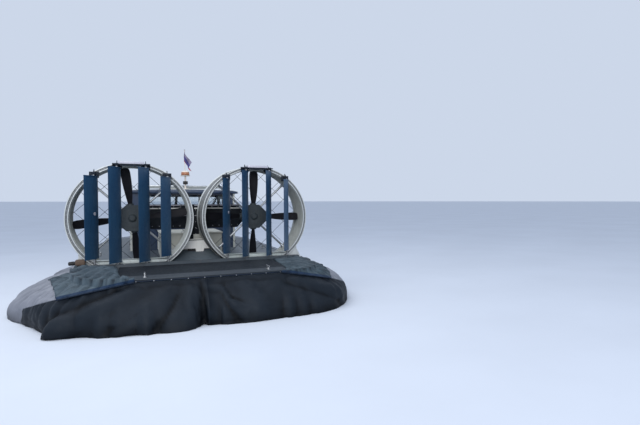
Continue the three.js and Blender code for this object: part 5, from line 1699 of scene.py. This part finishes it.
def addHelm():
    shape = bmesh.new()
    outline = [(2.62, 0.4004), (2.96, 0.4004), (2.96, 0.94), (2.80, 0.96), (2.62, 0.86)]
    addPrism(shape, outline, "y", 0.13, 0.80, 0.010)
    face = Matrix.Translation((2.71, 0, 0.913)) @ Matrix.Rotation(-math.atan2(0.10, 0.18), 4, "Y")
    addBox(shape, (-0.085, 0.16, -0.002), (0.085, 0.77, 0.006), 0.003, 1, face)
    for y, r in ((0.22, 0.032), (0.31, 0.032), (0.42, 0.045), (0.53, 0.032), (0.61, 0.024), (0.68, 0.024)):
        spot = face @ Matrix.Translation((0.02, y, 0))
        addTube(shape, [(0, 0, 0.004), (0, 0, 0.014), (0, 0, 0.017)], (r, r, r * 0.92), 24, 2, False, spot)
        addTube(shape, [(0, 0, 0.012), (0, 0, 0.0175)], r * 0.8, 24, 3, False, spot)
        addBox(shape, (-r * 0.6, -0.001, 0.0175), (0.0, 0.001, 0.019), 0.0, 1, spot @ Matrix.Rotation(y * 9, 4, "Z"))
    for n in range(8):
        addBox(shape, (-0.065, 0.20 + 0.065 * n, 0.005), (-0.045, 0.215 + 0.065 * n, 0.018), 0.003, 2, face)
    addBox(shape, (2.66, 0.68, 0.86), (2.78, 0.76, 0.925), 0.008, 1)
    addTube(shape, [(2.71, 0.72, 0.90), (2.69, 0.72, 1.03)], 0.007, 10, 2)
    addTube(shape, [(2.69, 0.72, 1.02), (2.688, 0.72, 1.035), (2.684, 0.72, 1.06)], (0.010, 0.018, 0.012), 14, 1)
    showPiece("helm_console_unit", shape, ["hullPaint", "rubber", "steel", "paleCap"], "craft", ["helm_console"])
    wheel = bmesh.new()
    place = Matrix.Translation(helm["wheel"]) @ Matrix.Rotation(-math.pi / 2 + helm["tilt"], 4, "Y")
    circle = [(helm["radius"] * math.cos(a), helm["radius"] * math.sin(a), 0) for a in np.linspace(0, 2 * math.pi, 49)[:-1]]
    addTube(wheel, circle, helm["rim"], 14, 0, True, place)
    for degrees in (90, 210, 330):
        a = math.radians(degrees)
        addTube(wheel, [(0.03 * math.cos(a), 0.03 * math.sin(a), 0.004), (helm["radius"] * math.cos(a), helm["radius"] * math.sin(a), 0)], (0.010, 0.007), 10, 1, False, place)
    addTube(wheel, [(0, 0, -0.072), (0, 0, 0.0), (0, 0, 0.016), (0, 0, 0.022)], (0.020, 0.020, 0.034, 0.026), 24, 1, False, place)
    showPiece("helm_wheel_rim", wheel, ["bladeBlack", "steel"], "craft", ["helm_wheel"])


addHelm()

# engine, its housing and lid
engine = {"aft": -1.95, "fore": -0.75, "half": 0.52, "top": 1.01}


def addEngine():
    shape = bmesh.new()
    addBox(shape, (-1.70, -0.17, 0.3004), (-1.00, 0.17, 0.62), 0.02)
    addBox(shape, (-1.66, -0.12, 0.3004), (-1.04, 0.12, 0.36), 0.01)
    for way in (-1, 1):
        tilt = Matrix.Translation((0, 0, 0.48)) @ Matrix.Rotation(math.radians(-32 * way), 4, "X")
        addBox(shape, (-1.64, -0.075, 0.05), (-1.06, 0.075, 0.33), 0.012, 0, tilt)
        addBox(shape, (-1.65, -0.085, 0.325), (-1.05, 0.085, 0.40), 0.02, 1, tilt)
        for n in range(4):
            x = -1.56 + 0.14 * n
            addTube(shape, [tilt @ Vector((x, way * 0.07, 0.24)), tilt @ Vector((x, way * 0.13, 0.22)), (x, way * 0.285, 0.50)], 0.022, 12, 2)
        addTube(shape, [(-1.66, way * 0.27, 0.49), (-1.05, way * 0.27, 0.49)], 0.030, 14, 2)
    addTube(shape, [(-1.35, 0, 0.72), (-1.35, 0, 0.80), (-1.35, 0, 0.86), (-1.35, 0, 0.895)], (0.10, 0.10, 0.15, 0.14), 36, 1)
    for y, z, r in ((0, 0.42, 0.11), (0.17, 0.62, 0.055), (-0.17, 0.62, 0.055), (0, 0.70, 0.06)):
        addTube(shape, [(-1.715, y, z), (-1.70, y, z), (-1.68, y, z), (-1.665, y, z)], (r, r * 0.9, r * 0.9, r), 28, 3)
        addTube(shape, [(-1.73, y, z), (-1.60, y, z)], 0.018, 12, 3)
    addTube(shape, [(-1.69, 0.11, 0.42), (-1.69, 0.225, 0.62), (-1.69, 0.17, 0.675), (-1.69, 0, 0.76), (-1.69, -0.17, 0.675), (-1.69, -0.225, 0.62), (-1.69, -0.11, 0.42),
                    (-1.69, 0, 0.31)], 0.007, 8, 4, True)
    addTube(shape, [(-1.10, 0.10, 0.74), (-1.02, 0.14, 0.80), (-0.97, 0.20, 0.70), (-0.97, 0.24, 0.50)], 0.022, 12, 4)
    showPiece("engine_block_unit", shape, ["castIron", "driveGrey", "steel", "tubeAlloy", "rubber"], "craft", ["engine_block"])
    trim = bmesh.new()
    aft, fore, half, top = (engine[key] for key in ("aft", "fore", "half", "top"))
    for side in (-1, 1):
        for low in (-1.80, -1.28):
            ends = sorted((side * (half + 0.0005), side * (half + 0.007)))
            addBox(trim, (low - 0.02, ends[0], 0.68), (low + 0.42, ends[1], 0.92), 0.003)
            for z in np.arange(0.70, 0.905, 0.026):
                tilt = Matrix.Translation((0, side * (half + 0.012), z)) @ Matrix.Rotation(math.radians(-35 * side), 4, "X")
                addBox(trim, (low, -0.010, -0.0015), (low + 0.38, 0.010, 0.0015), 0.0, 0, tilt)
        for x in (-1.6, -1.1):
            ends = sorted((side * (half + 0.0005), side * (half + 0.010)))
            addBox(trim, (x - 0.015, ends[0], 0.935), (x + 0.015, ends[1], 0.985), 0.003, 1)
    for y in (-0.3, 0.0, 0.3):
        addBox(trim, (fore + 0.0005, y - 0.05, 0.93), (fore + 0.006, y + 0.05, 0.985), 0.002, 1)
    showPiece("housing_louvres", trim, ["panelCream", "steel"], "craft")
    lid = bmesh.new()
    for y in (-0.34, 0.0, 0.34):
        addBox(lid, (-1.90, y - 0.025, 1.044), (-0.80, y + 0.025, 1.054), 0.004)
    addTube(lid, [(-1.90, -0.17, 1.044), (-1.90, -0.165, 1.074), (-1.90, -0.045, 1.074), (-1.90, -0.04, 1.044)], 0.007, 12, 1)
    addTube(lid, [(-1.90, 0.04, 1.044), (-1.90, 0.045, 1.074), (-1.90, 0.165, 1.074), (-1.90, 0.17, 1.044)], 0.007, 12, 1)
    showPiece("engine_lid_trim", lid, ["panelCream", "steel"], "lid")
    rows = [[(-1.945, y, 1.0465), (-0.755, y, 1.0465)] for y in (-0.515, 0.515)]
    fasteners("engine_lid_rivets", "rivet", rows, 0.08, (0.005, 0.005, 0.003), (0, 0, 1), "steel", "lid")


addEngine()
print("hovercraft: helm and engine made")

# roof rack, mast, beacon and limp flag
mast = {"x": -0.24, "y": -0.025, "foot": 1.887, "plate": 2.165, "staff": -0.12, "top": 2.745}


def addRoofGear():
    shape = bmesh.new()
    z, half = 1.95, 0.86
    loop = [(x, y, z) for x, y in rounded([(-0.12, -half), (1.90, -half), (1.90, half), (-0.12, half)], 0.10, 6)]
    addTube(shape, loop, 0.017, 14, 0, True)
    for x in (0.39, 0.86, 1.38):
        addTube(shape, [(x, -half, z), (x, half, z)], 0.014, 12)
    for x in (-0.05, 0.86, 1.83):
        for y in (-half, half):
            addTube(shape, [(x, y, 1.862), (x, y, z)], 0.014, 12)
            addTube(shape, [(x, y, 1.862), (x, y, 1.876)], 0.038, 16)
    showPiece("roof_rack_tubes", shape, ["tubeAlloy"], "craft", ["roof_rack"])
    x, y, plate, top = mast["x"], mast["y"], mast["plate"], mast["top"]
    shape = bmesh.new()
    addTube(shape, [(x, y, mast["foot"]), (x, y, plate + 0.004)], 0.018, 20)
    addTube(shape, [(x, y, mast["foot"]), (x, y, mast["foot"] + 0.010)], 0.06, 28)
    for n in range(4):
        a = math.radians(45 + 90 * n)
        addTube(shape, [(x + 0.044 * math.cos(a), y + 0.044 * math.sin(a), mast["foot"] + 0.009), (x + 0.044 * math.cos(a), y + 0.044 * math.sin(a), mast["foot"] + 0.018)], 0.007, 6, 1)
    addBox(shape, (x - 0.088, y - 0.088, plate), (x + 0.15, y + 0.088, plate + 0.010), 0.003)
    addTube(shape, [(mast["staff"], y, plate + 0.004), (mast["staff"], y, top - 0.012)], 0.008, 12)
    addTube(shape, [(mast["staff"], y, top - 0.016), (mast["staff"], y, top - 0.008), (mast["staff"], y, top)], (0.010, 0.015, 0.006), 14, 1)
    addBox(shape, (x - 0.05, y - 0.045, 1.985), (x + 0.04, y + 0.045, 2.055), 0.010, 2)
    addTube(shape, [(x + 0.03, y, 2.02), (x + 0.075, y, 2.02), (x + 0.09, y, 2.02)], (0.026, 0.034, 0.040), 24, 2)
    showPiece("mast_pole", shape, ["paleCap", "steel", "rubber"], "craft", ["mast"])
    shape = bmesh.new()
    base = plate + 0.0104
    sections = []
    for r, h in ((0.078, 0.014), (0.080, 0.020), (0.078, 0.060), (0.074, 0.070)):
        ring = []
        for n in range(96):
            a = 2 * math.pi * n / 96
            reach = r * (1 + 0.02 * math.cos(24 * a) * (0.02 < h < 0.07 or h == 0.020))
            ring.append((x + reach * math.cos(a), y + reach * math.sin(a), base + h))
        sections.append(ring)
    addLoft(shape, sections)
    addTube(shape, [(x, y, base), (x, y, base + 0.004), (x, y, base + 0.014)], (0.082, 0.085, 0.082), 48, 1)
    addTube(shape, [(x, y, base + 0.070), (x, y, base + 0.078), (x, y, base + 0.094), (x, y, base + 0.103)], (0.076, 0.078, 0.062, 0.030), 48, 2)
    showPiece("beacon_lamp", shape, ["amberLens", "rubber", "paleCap"], "craft", ["beacon"])


# the flag hangs from its staff by one edge and falls in a short cloth simulation
flag = {"hoist": 0.20, "fly": 0.30, "step": 0.0085, "top": 2.725, "frames": 14, "cap": 0.045, "droop": 0.9}


def addFlag():
    columns, rows = int(flag["fly"] / flag["step"]) + 1, int(flag["hoist"] / flag["step"]) + 1
    grid = np.zeros((columns, rows, 3))
    for n in range(columns):
        for k in range(rows):
            s, t = flag["fly"] * n / (columns - 1), flag["hoist"] * k / (rows - 1)
            ripple = 0.022 * math.sin(s * 34 + 9 * t) * min(1.0, s * 10) + 0.008 * math.sin(s * 71 - 17 * t) * min(1.0, s * 8)
            drop = flag["droop"] + 0.25 * math.sin(math.pi * t / flag["hoist"])
            away = s * math.cos(drop)
            grid[n, k] = (mast["staff"] - 0.010 - 0.35 * away + 0.94 * ripple, mast["y"] - 0.94 * away - 0.35 * ripple, flag["top"] - t - s * math.sin(drop))
    mesh = gridMesh("flag", grid, False)
    hold = np.zeros((columns, rows))
    hold[0] = 1.0
    end = settleCloth(mesh, hold.ravel(), [], flag["frames"], 0.0, flag["cap"], 6, 0.02)
    mesh = gridMesh("flag", end.reshape(columns, rows, 3), False)
    places = np.stack(np.meshgrid(np.linspace(0, 1, columns), np.linspace(1, 0, rows), indexing="ij"), -1).reshape(-1, 2)
    corners = np.zeros(len(mesh.loops), int)
    mesh.loops.foreach_get("vertex_index", corners)
    mesh.uv_layers.new(name="flat").data.foreach_set("uv", places[corners].ravel().astype(np.float32))
    piece = showPiece("flag_cloth", mesh, ["flagStripes"], "craft", ["flag"], 180)
    thick = piece.modifiers.new("thickness", "SOLIDIFY")
    thick.thickness = 0.0012
    thick.offset = 0


addRoofGear()
addFlag()
print("hovercraft: roof gear and flag made")

# remaining frame shapes keep their form and get a finish
for finish, kept in (
    ("hullPaint", ("hull", "rudder_beam")), ("deckCloth", ("aft_deck",)), ("coverSlate", ("ramp_cover",)),
    ("trimBlue", ("cabin_rear_wall", "windscreen_frame")),
    ("panelCream", ("cabin_side_port", "cabin_side_starboard", "cabin_door_port", "cabin_door_starboard", "cabin_cowl", "engine_housing", "engine_lid")),
    ("glass", ("windscreen_port", "windscreen_starboard", "rear_window", "side_window_port", "side_window_starboard", "door_window_port", "door_window_starboard")),
):
    for node in kept:
        nodes[node].data.materials.clear()
        nodes[node].data.materials.append(look[finish])

addView()


def addFloor():
    floor = bmesh.new()
    bmesh.ops.create_circle(floor, cap_ends=True, segments=96, radius=view["floorRadius"])
    mesh = bpy.data.meshes.new("floor")
    floor.to_mesh(mesh)
    floor.free()
    material, tree, shader, where = startMaterial("floorPale", roughness=0.85, specular=0.2)
    soft = cloudNode(tree, where.outputs["Object"], 0.35, 5.0)
    pale = view["floor"]
    tree.links.new(mixNode(tree, rampNode(tree, soft, ((0.35, 0.0), (0.7, 1.0))), pale, tuple(c * 1.06 for c in pale)), shader.inputs["Base Color"])
    mesh.materials.append(material)
    piece = bpy.data.objects.new("floor", mesh)
    bpy.context.scene.collection.objects.link(piece)


addFloor()
